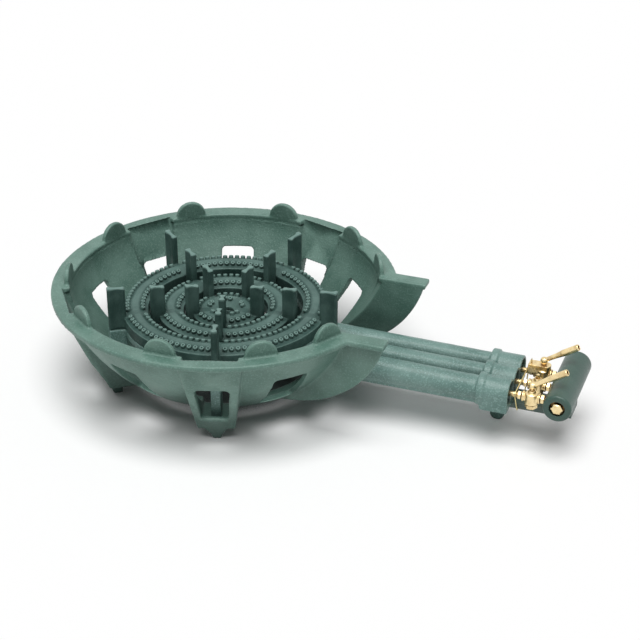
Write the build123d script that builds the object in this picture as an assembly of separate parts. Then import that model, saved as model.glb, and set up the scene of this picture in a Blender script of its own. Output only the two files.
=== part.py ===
from build123d import *
from build123d.topology import SkipClean
from dataclasses import dataclass
import math
import os

# Millimetres. Heights are above the floor and radii are from the bowl's upright axis.
# +X runs along the mixing tubes to the valves, and the near valve is on the -Y side.

# Rim and bowl of the stand
RIM_RADIUS = 215.0
RIM_TOP = 138.0
FLANGE_THICKNESS = 6.5
FLANGE_WIDTH = 23.0
FLANGE_EDGE_ROUND = 1.8
RIM_OVERHANG = 12.0
STAND_WALL = 7.0
BOWL_BOTTOM = 33.0
BOWL_TAPER = 72.0
BOWL_BULGE = 9.0
BOTTOM_RING_WIDTH = 16.0
BOTTOM_RING_THICKNESS = 5.0
SECTOR = 72.0

# Legs
LEG_LEAN = 0.41
LEG_SETBACK = 13.0
LEG_TOP_WIDTH = 77.0
LEG_BLOCK_WIDTH = 46.0
LEG_BLOCK_BOTTOM = 18.0
LEG_BLOCK_HEIGHT = 12.0
LEG_EDGE_ROUND = 3.0
PEG_WIDTH = 9.5
PEG_DEPTH = 11.0
PEG_NECK_HEIGHT = 7.0
PEG_NECK_WIDTH = 13.0
PEG_SHOULDER_WIDTH = 28.0

# Windows and lugs
WINDOW_BOTTOM = 41.0
WINDOW_HEIGHT = 55.0
PANEL_WINDOW_WIDTH = 43.0
LEG_WINDOW_DROP = 4.0
LEG_WINDOW_TOP_WIDTH = 42.0
LEG_WINDOW_BOTTOM_WIDTH = 32.0
WINDOW_CORNER = 5.0
SPOUT_WINDOW_ANGLE = 42.4
LUG_RADIUS = 20.0
LUG_THICKNESS = 6.0
LUG_EDGE_ROUND = 1.6
LUG_LEG_ANGLE = 17.3
LUG_SPOUT_ANGLE = 29.3

# Spout
SPOUT_GAP = 144.0
SPOUT_PROJECTION = 23.0
SPOUT_FLANGE_WIDTH = 13.5
SPOUT_TOE_SETBACK = 21.0
SPOUT_END_SLANT = 3.0
SPOUT_BULGE = 27.0

# Gas rings
SEAM_HEIGHT = 90.0
TROUGH_DEPTH = 4.0
TROUGH_FLOOR = 5.0
RING_WALL = 4.5
RIDGE_WIDTH = 7.0
RING_MARGIN = 86.0
OUTER_RING_GAP = 12.0
INNER_RING_GAP = 11.0
CENTRE_HOLE_RADIUS = 10.0
OUTER_RIDGE_RISE = 19.5
MIDDLE_RIDGE_RISE = 14.5
INNER_RIDGE_RISE = 10.0
LIP_DROP = 5.0
RIB_WIDTH = 12.0
RIB_DEPTH = 8.0
PRONG_WIDTH = 8.0
PRONG_WEB = 4.2
PRONG_END = 3.0
PRONG_LAP = 8.0
OUTER_PRONG_LAP = 2.7
PRONG_GAP = 1.8
PRONG_SLOPE = 2.5
PRONG_EDGE_ROUND = 1.5
OUTER_PRONG_RISE = 58.0
MIDDLE_PRONG_RISE = 53.0
INNER_PRONG_RISE = 48.0
STUD_RADIUS = 2.75
STUD_TIP_RADIUS = 2.3
STUD_HEIGHT = 3.5
STUD_ROOT = 1.5
STUD_PITCH = 7.5
STUD_LAND = 12.0
PORT_RADIUS = 1.1
COLUMN_WIDTH = 12.0
COLUMN_CLEARANCE = 4.5

# Mixing tubes and mouth block
TUBE_PITCH = 29.3
TUBE_DROP = 20.5
TUBE_RADIUS = 16.5
TUBE_END_RADIUS = 14.75
TUBE_BORE = 11.5
TUBE_CAP = 5.0
RISER_INSET = 2.0
TAPER_START = 145.0
COLLAR_START = 338.0
COLLAR_WIDTH = 9.0
COLLAR_RADIUS = 20.0
MOUTH_LENGTH = 30.0
MOUTH_RADIUS = 17.5
MOUTH_BORE = 14.0
MOUTH_BLOCK_DROP = 19.5
MOUTH_BLOCK_SETBACK = 6.0
WEB_RISE = 6.5
WEB_DROP = 7.0
FOOT_WIDTH = 18.0
FOOT_THICKNESS = 9.0
FOOT_OVERLAP = 4.0
FOOT_OFFSET = 21.0
FOOT_SETBACK = 4.0

# Valves
COCK_STANDOFF = 25.0
COCK_RADIUS = 8.2
COCK_BELOW = 8.5
COCK_ABOVE = 6.5
COCK_CHAMFER = 1.2
BOSS_RADIUS = 5.6
OUTLET_BOSS = 11.0
INLET_BOSS = 10.5
SOCKET_DEPTH = 4.0
PLUG_RADIUS = 5.0
PLUG_TIP_RADIUS = 4.4
PLUG_CEILING = 1.6
PLUG_PORT = 2.0
PLUG_CLEARANCE = 0.05
STEM_RADIUS = 2.7
CAP_FLATS = 13.0
CAP_HEIGHT = 6.0
CAP_FLOOR = 2.0
CAP_SPIGOT_RADIUS = 6.2
CAP_SPIGOT = 3.0
CAP_BORE = 4.3
SPRING_RADIUS = 3.1
SPRING_WIRE = 0.4
SPRING_TURNS = 3
FAR_BLOCK_LENGTH = 27.0
FAR_BLOCK_AHEAD = 9.0
FAR_BLOCK_WIDTH = 13.0
FAR_BLOCK_TOP = 12.5
FAR_BLOCK_HEIGHT = 11.0
FAR_BLOCK_ROUND = 6.0
BLEED_RADIUS = 1.0
BLEED_SETBACK = 15.0
BLEED_DEPTH = 5.0
BLEED_RISE = 6.0
JET_RADIUS = 3.5
JET_BORE = 1.8
JET_ORIFICE = 0.75
JET_TIP = 3.0
JET_INSERTION = 9.0
JET_CLEARANCE = 0.5
NIPPLE_RADIUS = 4.0
NIPPLE_BORE = 2.4
NIPPLE_INSERTION = 5.0
NIPPLE_FLATS = 10.0
NIPPLE_HEX_LENGTH = 4.0
NIPPLE_HEX_GAP = 1.0
THREAD_CLEARANCE = 0.03

# Levers
NEAR_HUB_RISE = 16.0
FAR_HUB_RISE = 18.0
SPINDLE_RISE = 15.0
SPINDLE_SQUARE = 3.6
SPINDLE_SQUARE_LENGTH = 6.0
HUB_RADIUS = 4.7
HUB_HALF_HEIGHT = 3.6
LEVER_RISE_ANGLE = 33.0
LEVER_NECK_RADIUS = 2.5
LEVER_NECK_LENGTH = 24.0
GRIP_RADIUS = 4.1
GRIP_LENGTH = 24.0
GRIP_ROUND = 1.2
GRIP_HOLLOW_RADIUS = 2.6
GRIP_HOLLOW_DEPTH = 6.0
PIN_RADIUS = 1.0

# Manifold and its bracket
MANIFOLD_STANDOFF = 34.5
MANIFOLD_RISE = 2.5
MANIFOLD_RADIUS = 17.25
MANIFOLD_NEAR_LENGTH = 50.0
MANIFOLD_FAR_LENGTH = 64.0
MANIFOLD_BORE = 8.0
MANIFOLD_END_ROUND = 3.0
INLET_RADIUS = 9.3
INLET_DEPTH = 16.0
END_PLUG_DEPTH = 12.0
END_PLUG_THREAD = 9.0
END_PLUG_FLATS = 12.5
END_PLUG_HEX = 4.0
BRACKET_HALF_WIDTH = 17.0
BRACKET_THICKNESS = 8.0
BRACKET_LAP = 13.0
SADDLE_LENGTH = 24.0
SADDLE_RISE = 5.0
SADDLE_CLEARANCE = 0.05
BOLT_RADIUS = 3.0
BOLT_HOLE = 3.3
BOLT_FLATS = 10.0
BOLT_HEAD = 4.0
BOLT_DEPTH = 6.5
BOLT_SHORT = 1.0
BOSS_WALL = 3.0
BRACKET_BOLT_OFFSET = 9.0
SCREW_RADIUS = 2.5
SCREW_HOLE = 2.75
SCREW_FLATS = 8.0
SCREW_HEAD = 3.5
SCREW_DEPTH = 5.0
SCREW_OFFSET = 11.0

# Tie wire
WIRE_RADIUS = 0.8
WIRE_GAP = 0.3
WIRE_FROM_MOUTH = 6.0

# Places that follow from the sizes above
FLANGE_BOTTOM = RIM_TOP - FLANGE_THICKNESS
BOWL_TOP_RADIUS = RIM_RADIUS - RIM_OVERHANG
BOWL_BOTTOM_RADIUS = BOWL_TOP_RADIUS - BOWL_TAPER
BOTTOM_OPENING = BOWL_BOTTOM_RADIUS - BOTTOM_RING_WIDTH
BOTTOM_RING_TOP = BOWL_BOTTOM + BOTTOM_RING_THICKNESS
LEG_FLOOR = LEG_BLOCK_BOTTOM + LEG_BLOCK_HEIGHT
LEG_SLANT = math.hypot(1, LEG_LEAN)
LEG_FLOOR_FACE = RIM_RADIUS - LEG_SETBACK - LEG_LEAN * (FLANGE_BOTTOM - LEG_FLOOR)
LEG_ANGLES = [SECTOR * index for index in (1, 2, 3, 4)]
PRONG_ANGLES = [0] + LEG_ANGLES
BOLT_ANGLES = [SECTOR * 1.5, SECTOR * 2.5, SECTOR * 3.5]
OUTER_RING_RADIUS = RIM_RADIUS - RING_MARGIN
RING_GAPS = OUTER_RING_GAP + INNER_RING_GAP
RING_WIDTH = (OUTER_RING_RADIUS - CENTRE_HOLE_RADIUS - RING_GAPS) / 3
MIDDLE_RING_RADIUS = OUTER_RING_RADIUS - RING_WIDTH - OUTER_RING_GAP
INNER_RING_RADIUS = MIDDLE_RING_RADIUS - RING_WIDTH - INNER_RING_GAP
RISER_RADIUS = RING_WIDTH / 2 - RING_WALL - RISER_INSET
SPOUT_REACH = RIM_RADIUS + SPOUT_PROJECTION
TUBE_HEIGHT = SEAM_HEIGHT - TUBE_DROP
TUBE_OFFSETS = [-TUBE_PITCH, 0, TUBE_PITCH]
TROUGH_TOP = SEAM_HEIGHT - TROUGH_DEPTH
TROUGH_BOTTOM = TROUGH_TOP - TROUGH_FLOOR
COLLAR_END = COLLAR_START + COLLAR_WIDTH
MOUTH_END = COLLAR_END + MOUTH_LENGTH
MOUTH_BOTTOM = TUBE_HEIGHT - MOUTH_BLOCK_DROP
COCK_X = MOUTH_END + COCK_STANDOFF
COCK_BOTTOM = TUBE_HEIGHT - COCK_BELOW
COCK_TOP = TUBE_HEIGHT + COCK_ABOVE
PLUG_BOTTOM = COCK_BOTTOM + CAP_SPIGOT
PLUG_TOP = COCK_TOP - PLUG_CEILING
CAP_BOTTOM = COCK_BOTTOM - CAP_HEIGHT
NEAR_HUB_HEIGHT = TUBE_HEIGHT + NEAR_HUB_RISE
FAR_HUB_HEIGHT = TUBE_HEIGHT + FAR_HUB_RISE
MANIFOLD_X = COCK_X + MANIFOLD_STANDOFF
MANIFOLD_HEIGHT = TUBE_HEIGHT + MANIFOLD_RISE
BRACKET_BOTTOM = MOUTH_BOTTOM - BRACKET_THICKNESS
BRACKET_BOLT_X = MOUTH_END - BRACKET_LAP / 2
COLUMN_REACH = LEG_FLOOR_FACE - STAND_WALL * LEG_SLANT - COLUMN_CLEARANCE
SCREW_TOP = MANIFOLD_HEIGHT - MANIFOLD_RADIUS + SCREW_DEPTH
FAR_BLOCK_START = COCK_X + FAR_BLOCK_AHEAD - FAR_BLOCK_LENGTH
FAR_BLOCK_CEILING = TUBE_HEIGHT + FAR_BLOCK_TOP
BLEED_X = COCK_X - BLEED_SETBACK
OUTLET_X = COCK_X - OUTLET_BOSS
INLET_X = COCK_X + INLET_BOSS
CENTRE_X = (MANIFOLD_X + MANIFOLD_RADIUS - RIM_RADIUS) / 2
ON_FLOOR = (Align.CENTER, Align.CENTER, Align.MIN)


def save(name, shape):
    export_step(Pos(-CENTRE_X, 0, 0) * shape, f"parts/{name}.step")


def rod(start, end, radius):
    along = Vector(*end) - Vector(*start)
    return Plane(Vector(*start), z_dir=along) * Cylinder(radius, along.length, align=ON_FLOOR)


def hex_rod(start, end, across_flats):
    along = Vector(*end) - Vector(*start)
    section = RegularPolygon(across_flats / 2, 6, major_radius=False)
    return Plane(Vector(*start), z_dir=along) * extrude(section, along.length)


def block(x_range, y_range, z_range):
    size = [high - low for low, high in (x_range, y_range, z_range)]
    middle = [(high + low) / 2 for low, high in (x_range, y_range, z_range)]
    return Pos(*middle) * Box(*size)


def annulus(inner, outer, bottom, top):
    return Pos(0, 0, bottom) * extrude(Circle(outer) - Circle(inner), top - bottom)


def turned(points):
    """Solid of revolution about the upright axis from (radius, height) points."""
    return revolve(Plane.XZ * make_face(Polyline(*points, close=True)), Axis.Z)


def spun_x(points, y, z):
    """Solid of revolution about a line along X from (x, radius) points."""
    face = Plane((0, y, z), x_dir=(1, 0, 0), z_dir=(0, -1, 0)) * make_face(Polyline(*points, close=True))
    return revolve(face, Axis((0, y, z), (1, 0, 0)))


def radial(shape, angle):
    return Rot(0, 0, angle) * shape


def bulged_arc(start, end, bulge, inset=0):
    """Centre and radius of the arc that swells outward by bulge from the chord between two points."""
    chord = math.dist(start, end)
    radius = (chord**2 / 4 + bulge**2) / (2 * bulge)
    run = (end[0] - start[0]) / chord
    rise = (end[1] - start[1]) / chord
    centre_x = (start[0] + end[0]) / 2 - rise * (radius - bulge)
    centre_z = (start[1] + end[1]) / 2 + run * (radius - bulge)
    return centre_x, centre_z, radius - inset


def arc_radius(arc, height):
    centre_x, centre_z, radius = arc
    return centre_x + math.sqrt(radius**2 - (height - centre_z) ** 2)


def arc_edge(arc, bottom, top):
    heights = (bottom, (bottom + top) / 2, top)
    return ThreePointArc(*[(arc_radius(arc, height), height) for height in heights])


def bowl_solid(inset, bottom, top):
    lowest = (BOWL_BOTTOM_RADIUS, BOWL_BOTTOM)
    highest = (BOWL_TOP_RADIUS, FLANGE_BOTTOM)
    side = arc_edge(bulged_arc(lowest, highest, BOWL_BULGE, inset), bottom, top)
    outline = Polyline(side @ 1, (0, top), (0, bottom), side @ 0)
    return revolve(Plane.XZ * make_face(outline + side), Axis.Z)


def leg_face(height):
    return RIM_RADIUS - LEG_SETBACK - LEG_LEAN * (FLANGE_BOTTOM - height)


def leg_width(height):
    share = (height - LEG_BLOCK_BOTTOM) / (FLANGE_BOTTOM - LEG_BLOCK_BOTTOM)
    return LEG_BLOCK_WIDTH + (LEG_TOP_WIDTH - LEG_BLOCK_WIDTH) * share


def leg_prism(inset, bottom, top):
    """Leaning block of one leg from inside the bottom opening to the leg's face, less an inset all round."""
    root = BOTTOM_OPENING - STAND_WALL - inset
    sections = []
    for height in (bottom, top):
        depth = leg_face(height) - inset * LEG_SLANT - root
        section = Rectangle(depth, leg_width(height) - 2 * inset)
        sections.append(Pos(root + depth / 2, 0, height) * section)
    return loft(sections)


def leg_outside():
    prism = leg_prism(0, LEG_BLOCK_BOTTOM, FLANGE_BOTTOM)
    corners = prism.edges().filter_by(lambda edge: edge.length > FLANGE_BOTTOM - LEG_BLOCK_BOTTOM + 1)
    return fillet(corners, LEG_EDGE_ROUND)


def peg():
    half = [
        (PEG_WIDTH / 2, 0),
        (PEG_NECK_WIDTH / 2, PEG_NECK_HEIGHT),
        (PEG_SHOULDER_WIDTH / 2, LEG_BLOCK_BOTTOM),
        (PEG_SHOULDER_WIDTH / 2, LEG_FLOOR),
    ]
    outline = half + [(-across, height) for across, height in reversed(half)]
    across_leg = Plane((0, 0, 0), x_dir=(0, 1, 0), z_dir=(1, 0, 0))
    web = across_leg * extrude(make_face(Polyline(*outline, close=True)), RIM_RADIUS)
    lean_points = [
        (leg_face(0) - PEG_DEPTH, 0),
        (leg_face(0), 0),
        (leg_face(LEG_FLOOR), LEG_FLOOR),
        (leg_face(0) - PEG_DEPTH, LEG_FLOOR),
    ]
    lean = Plane.XZ * make_face(Polyline(*lean_points, close=True))
    return web & extrude(lean, LEG_BLOCK_WIDTH / 2, both=True)


def window_cutter(bottom, top, bottom_width, top_width):
    corners = [
        (-bottom_width / 2, bottom),
        (bottom_width / 2, bottom),
        (top_width / 2, top),
        (-top_width / 2, top),
    ]
    outline = make_face(Polyline(*corners, close=True))
    outline = fillet(outline.vertices(), WINDOW_CORNER)
    across_wall = Plane((BOTTOM_OPENING, 0, 0), x_dir=(0, 1, 0), z_dir=(1, 0, 0))
    return across_wall * extrude(outline, RIM_RADIUS - BOTTOM_OPENING)


def spout_outside():
    toe = (BOWL_BOTTOM_RADIUS - SPOUT_TOE_SETBACK, BOWL_BOTTOM)
    tip = (SPOUT_REACH - SPOUT_END_SLANT, FLANGE_BOTTOM)
    side = arc_edge(bulged_arc(toe, tip, SPOUT_BULGE), BOWL_BOTTOM, FLANGE_BOTTOM)
    outline = Polyline(side @ 1, (0, FLANGE_BOTTOM), (0, BOWL_BOTTOM), side @ 0)
    return extrude(Plane.XZ * make_face(outline + side), SPOUT_GAP / 2 + STAND_WALL, both=True)


def notch(bottom):
    return block((0, SPOUT_REACH + STAND_WALL), (-SPOUT_GAP / 2, SPOUT_GAP / 2), (bottom, RIM_TOP + 1))


def flange():
    half_width = SPOUT_GAP / 2 + STAND_WALL + SPOUT_FLANGE_WIDTH
    outline = Circle(RIM_RADIUS) + Pos(SPOUT_REACH / 2, 0) * Rectangle(SPOUT_REACH, 2 * half_width)
    plate = Pos(0, 0, FLANGE_BOTTOM) * extrude(outline, FLANGE_THICKNESS)
    plate -= rod((0, 0, FLANGE_BOTTOM), (0, 0, RIM_TOP), RIM_RADIUS - FLANGE_WIDTH)
    plate -= notch(FLANGE_BOTTOM - 1)
    for angle in LEG_ANGLES:
        plate -= radial(leg_prism(STAND_WALL, FLANGE_BOTTOM - 1, RIM_TOP + 1), angle)
    top_edges = plate.faces().sort_by(Axis.Z)[-1].edges()
    return fillet(top_edges, FLANGE_EDGE_ROUND)


def lug():
    inner = RIM_RADIUS - FLANGE_WIDTH
    disc = rod((inner, 0, RIM_TOP), (inner + LUG_THICKNESS, 0, RIM_TOP), LUG_RADIUS)
    disc = fillet(disc.edges().filter_by(GeomType.CIRCLE), LUG_EDGE_ROUND)
    below = (FLANGE_BOTTOM - LUG_RADIUS, RIM_TOP - FLANGE_THICKNESS / 2)
    return disc - block((0, RIM_RADIUS), (-LUG_RADIUS, LUG_RADIUS), below)


def stand():
    shell = bowl_solid(0, BOWL_BOTTOM, FLANGE_BOTTOM) + spout_outside()
    leg = leg_outside() + peg()
    shell += [radial(leg, angle) for angle in LEG_ANGLES]
    hollow = [bowl_solid(STAND_WALL, BOTTOM_RING_TOP, FLANGE_BOTTOM), notch(BOTTOM_RING_TOP)]
    hollow.append(rod((0, 0, 0), (0, 0, FLANGE_BOTTOM), BOTTOM_OPENING))
    cavity = leg_prism(STAND_WALL, LEG_FLOOR, FLANGE_BOTTOM)
    window_top = WINDOW_BOTTOM + WINDOW_HEIGHT
    panel = window_cutter(WINDOW_BOTTOM, window_top, PANEL_WINDOW_WIDTH, PANEL_WINDOW_WIDTH)
    leg_bottom = WINDOW_BOTTOM - LEG_WINDOW_DROP
    leg_top = window_top - LEG_WINDOW_DROP
    leg_window = window_cutter(leg_bottom, leg_top, LEG_WINDOW_BOTTOM_WIDTH, LEG_WINDOW_TOP_WIDTH)
    hollow += [radial(cavity, angle) for angle in LEG_ANGLES]
    hollow += [radial(leg_window, angle) for angle in LEG_ANGLES]
    hollow += [radial(panel, angle) for angle in BOLT_ANGLES]
    hollow += [radial(panel, angle) for angle in (-SPOUT_WINDOW_ANGLE, SPOUT_WINDOW_ANGLE)]
    shell -= hollow
    lug_angles = [-LUG_SPOUT_ANGLE, LUG_SPOUT_ANGLE]
    for angle in LEG_ANGLES:
        lug_angles += [angle - LUG_LEG_ANGLE, angle + LUG_LEG_ANGLE]
    return shell + [flange()] + [radial(lug(), angle) for angle in lug_angles]


@dataclass
class GasRing:
    outer: float
    ridge_top: float
    prong_top: float
    prong_end: float
    prong_lap: float
    tube_y: float

    @property
    def inner(self):
        return self.outer - RING_WIDTH

    @property
    def middle(self):
        return self.outer - RING_WIDTH / 2

    @property
    def prong_root(self):
        return self.outer - self.prong_lap

    @property
    def prong_length(self):
        return self.prong_end - self.prong_root

    @property
    def riser_x(self):
        return math.sqrt(self.middle**2 - self.tube_y**2)


OUTER_RING = GasRing(
    outer=OUTER_RING_RADIUS,
    ridge_top=SEAM_HEIGHT + OUTER_RIDGE_RISE,
    prong_top=SEAM_HEIGHT + OUTER_PRONG_RISE,
    prong_end=COLUMN_REACH,
    prong_lap=OUTER_PRONG_LAP,
    tube_y=-TUBE_PITCH,
)
MIDDLE_RING = GasRing(
    outer=MIDDLE_RING_RADIUS,
    ridge_top=SEAM_HEIGHT + MIDDLE_RIDGE_RISE,
    prong_top=SEAM_HEIGHT + MIDDLE_PRONG_RISE,
    prong_end=OUTER_RING.inner - PRONG_GAP,
    prong_lap=PRONG_LAP,
    tube_y=TUBE_PITCH,
)
INNER_RING = GasRing(
    outer=INNER_RING_RADIUS,
    ridge_top=SEAM_HEIGHT + INNER_RIDGE_RISE,
    prong_top=SEAM_HEIGHT + INNER_PRONG_RISE,
    prong_end=MIDDLE_RING.inner - PRONG_GAP,
    prong_lap=PRONG_LAP,
    tube_y=0,
)
RINGS = [OUTER_RING, MIDDLE_RING, INNER_RING]


def prong(ring):
    """Pot rest that stands on the rim of a gas ring, thinned to a web by a broad flute in each side."""
    points = [
        (ring.prong_root, SEAM_HEIGHT),
        (ring.prong_end, SEAM_HEIGHT),
        (ring.prong_end, ring.prong_top),
        (ring.prong_root, ring.prong_top - PRONG_SLOPE),
    ]
    bar = extrude(Plane.XZ * make_face(Polyline(*points, close=True)), PRONG_WIDTH / 2, both=True)
    bar = fillet(bar.edges().filter_by(Axis.Z), PRONG_EDGE_ROUND)
    flute_depth = (PRONG_WIDTH - PRONG_WEB) / 2
    half_chord = ring.prong_length / 2 - PRONG_END
    flute_radius = (half_chord**2 + flute_depth**2) / (2 * flute_depth)
    flute = Cylinder(flute_radius, ring.prong_top - ring.ridge_top, align=ON_FLOOR)
    flute_y = PRONG_WEB / 2 + flute_radius
    for side in (-1, 1):
        bar -= Pos(ring.prong_root + ring.prong_length / 2, side * flute_y, ring.ridge_top) * flute
    return bar


def stud_places(ring):
    """Places of the flame studs in one sector: a row on each slope, spread evenly between two prongs."""
    slope = (RING_WIDTH - RIDGE_WIDTH) / 2
    tilt = math.degrees(math.atan2(LIP_DROP, slope))
    places = []
    for radius, lean in ((ring.outer - slope / 2, tilt), (ring.inner + slope / 2, -tilt)):
        span = SECTOR - math.degrees(STUD_LAND / radius)
        count = max(1, int(math.radians(span) * radius / STUD_PITCH))
        for index in range(count):
            angle = SECTOR / 2 + span * ((index + 0.5) / count - 0.5)
            foot = Pos(radius, 0, ring.ridge_top - LIP_DROP / 2)
            places.append(Rot(0, 0, angle) * foot * Rot(0, lean, 0))
    return places


def ring_section(ring, inset):
    lip = ring.ridge_top - LIP_DROP - inset
    half_ridge = RIDGE_WIDTH / 2
    points = [
        (ring.inner + inset, SEAM_HEIGHT),
        (ring.outer - inset, SEAM_HEIGHT),
        (ring.outer - inset, lip),
        (ring.middle + half_ridge, ring.ridge_top - inset),
        (ring.middle - half_ridge, ring.ridge_top - inset),
        (ring.inner + inset, lip),
    ]
    return make_face(Polyline(*points, close=True))


def ring_sector(ring):
    """One fifth of a ring head from prong to prong, with its studs and ports."""
    section = ring_section(ring, 0) - ring_section(ring, RING_WALL)
    sector = revolve(Plane.XZ * section, Axis.Z, SECTOR)
    stud_length = STUD_HEIGHT + STUD_ROOT
    stud = Pos(0, 0, -STUD_ROOT) * Cone(STUD_RADIUS, STUD_TIP_RADIUS, stud_length, align=ON_FLOOR)
    port = Cylinder(PORT_RADIUS, 4 * RING_WALL)
    places = stud_places(ring)
    sector += [place * stud for place in places]
    return sector - [place * port for place in places]


def ring_head(ring):
    """Five sectors, their prongs and the bolt bosses, joined with the seams between sectors kept."""
    boss = Cylinder(BOLT_RADIUS + BOSS_WALL, ring.ridge_top - RING_WALL / 2 - SEAM_HEIGHT, align=ON_FLOOR)
    boss -= Cylinder(BOLT_RADIUS, BOLT_DEPTH, align=ON_FLOOR)
    boss = Pos(ring.middle, 0, SEAM_HEIGHT) * boss
    rest = prong(ring)
    with SkipClean():
        sector = ring_sector(ring)
        head = sector + [radial(sector, angle) for angle in LEG_ANGLES]
        fittings = [radial(rest, angle) for angle in PRONG_ANGLES]
        fittings += [radial(boss, angle) for angle in BOLT_ANGLES]
        return head + fittings


def mixing_tube(ring):
    inner_end = ring.riser_x - RISER_RADIUS - TUBE_CAP
    outside = [
        (inner_end, 0),
        (inner_end, TUBE_RADIUS),
        (TAPER_START, TUBE_RADIUS),
        (COLLAR_START, TUBE_END_RADIUS),
        (COLLAR_START, COLLAR_RADIUS),
        (COLLAR_END, COLLAR_RADIUS),
        (COLLAR_END, MOUTH_RADIUS),
        (MOUTH_END, MOUTH_RADIUS),
        (MOUTH_END, 0),
    ]
    return spun_x(outside, ring.tube_y, TUBE_HEIGHT)


def tube_passage(ring):
    bore_end = ring.riser_x - RISER_RADIUS
    inside = [
        (bore_end, 0),
        (bore_end, TUBE_BORE),
        (COLLAR_START, TUBE_BORE),
        (MOUTH_END, MOUTH_BORE),
        (MOUTH_END, 0),
    ]
    riser = Pos(ring.riser_x, ring.tube_y, TUBE_HEIGHT) * Cylinder(RISER_RADIUS, TUBE_DROP, align=ON_FLOOR)
    return [spun_x(inside, ring.tube_y, TUBE_HEIGHT), riser]


def mouth_block():
    half_width = TUBE_PITCH + MOUTH_RADIUS
    start = COLLAR_START + MOUTH_BLOCK_SETBACK
    points = [
        (COLLAR_START, TUBE_HEIGHT),
        (MOUTH_END, TUBE_HEIGHT),
        (MOUTH_END, MOUTH_BOTTOM),
        (start, MOUTH_BOTTOM),
    ]
    return extrude(Plane.XZ * make_face(Polyline(*points, close=True)), half_width, both=True)


def mouth_foot():
    foot_x = COLLAR_START + FOOT_SETBACK + FOOT_WIDTH / 2
    leg = Rectangle(FOOT_WIDTH, MOUTH_BOTTOM + FOOT_OVERLAP - FOOT_WIDTH / 2, align=(Align.CENTER, Align.MIN))
    outline = Pos(foot_x, FOOT_WIDTH / 2) * (leg + Circle(FOOT_WIDTH / 2))
    return Pos(0, FOOT_OFFSET, 0) * extrude(Plane.XZ * outline, FOOT_THICKNESS / 2, both=True)


def burner_base():
    base = [mixing_tube(ring) for ring in RINGS] + [mouth_block(), mouth_foot()]
    web = (TUBE_HEIGHT - WEB_DROP, TUBE_HEIGHT + WEB_RISE)
    base.append(block((OUTER_RING.outer, COLLAR_START), (-TUBE_PITCH, TUBE_PITCH), web))
    bolt_hole = Cylinder(BOLT_HOLE, 2 * TROUGH_DEPTH + 2 * TROUGH_FLOOR)
    hollow = []
    for ring in RINGS:
        base.append(annulus(ring.inner, ring.outer, TROUGH_BOTTOM, SEAM_HEIGHT))
        hollow.append(annulus(ring.inner + RING_WALL, ring.outer - RING_WALL, TROUGH_TOP, SEAM_HEIGHT))
        hollow += tube_passage(ring)
        hollow += [radial(Pos(ring.middle, 0, TROUGH_TOP) * bolt_hole, angle) for angle in BOLT_ANGLES]
    rib_side = (-RIB_WIDTH / 2, RIB_WIDTH / 2)
    rib = block((INNER_RING.middle, OUTER_RING.middle), rib_side, (TROUGH_TOP - RIB_DEPTH, TROUGH_TOP))
    column_side = (-COLUMN_WIDTH / 2, COLUMN_WIDTH / 2)
    column = block((OUTER_RING.outer - RING_WALL / 2, COLUMN_REACH), column_side, (LEG_FLOOR, SEAM_HEIGHT))
    base += [radial(rib, angle) for angle in LEG_ANGLES]
    base += [radial(column, angle) for angle in LEG_ANGLES]
    for bolt_y in (-BRACKET_BOLT_OFFSET, BRACKET_BOLT_OFFSET):
        foot = (BRACKET_BOLT_X, bolt_y, MOUTH_BOTTOM)
        hollow.append(Pos(*foot) * Cylinder(BOLT_RADIUS, BOLT_DEPTH, align=ON_FLOOR))
    return base[0] + base[1:] - hollow


def hex_bolt(seat, length, radius, flats, head):
    """Bolt that points up, its head below the seat height."""
    shank = Cylinder(radius - THREAD_CLEARANCE, length, align=ON_FLOOR)
    return Pos(*seat) * (shank + hex_rod((0, 0, -head), (0, 0, 0), flats))


def ring_head_bolts():
    reach = TROUGH_FLOOR + TROUGH_DEPTH + BOLT_DEPTH - BOLT_SHORT
    bolts = []
    for ring in RINGS:
        bolt = hex_bolt((ring.middle, 0, TROUGH_BOTTOM), reach, BOLT_RADIUS, BOLT_FLATS, BOLT_HEAD)
        bolts += [radial(bolt, angle) for angle in BOLT_ANGLES]
    return Compound(bolts)


def bracket_bolts():
    reach = BRACKET_THICKNESS + BOLT_DEPTH - BOLT_SHORT
    bolts = []
    for bolt_y in (-BRACKET_BOLT_OFFSET, BRACKET_BOLT_OFFSET):
        seat = (BRACKET_BOLT_X, bolt_y, BRACKET_BOTTOM)
        bolts.append(hex_bolt(seat, reach, BOLT_RADIUS, BOLT_FLATS, BOLT_HEAD))
    return Compound(bolts)


def manifold_screws():
    reach = SCREW_TOP - BRACKET_BOTTOM - BOLT_SHORT
    screws = []
    for screw_y in (-SCREW_OFFSET, SCREW_OFFSET):
        seat = (MANIFOLD_X, screw_y, BRACKET_BOTTOM)
        screws.append(hex_bolt(seat, reach, SCREW_RADIUS, SCREW_FLATS, SCREW_HEAD))
    return Compound(screws)


def manifold_rod(start_y, end_y, radius):
    return rod((MANIFOLD_X, start_y, MANIFOLD_HEIGHT), (MANIFOLD_X, end_y, MANIFOLD_HEIGHT), radius)


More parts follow.
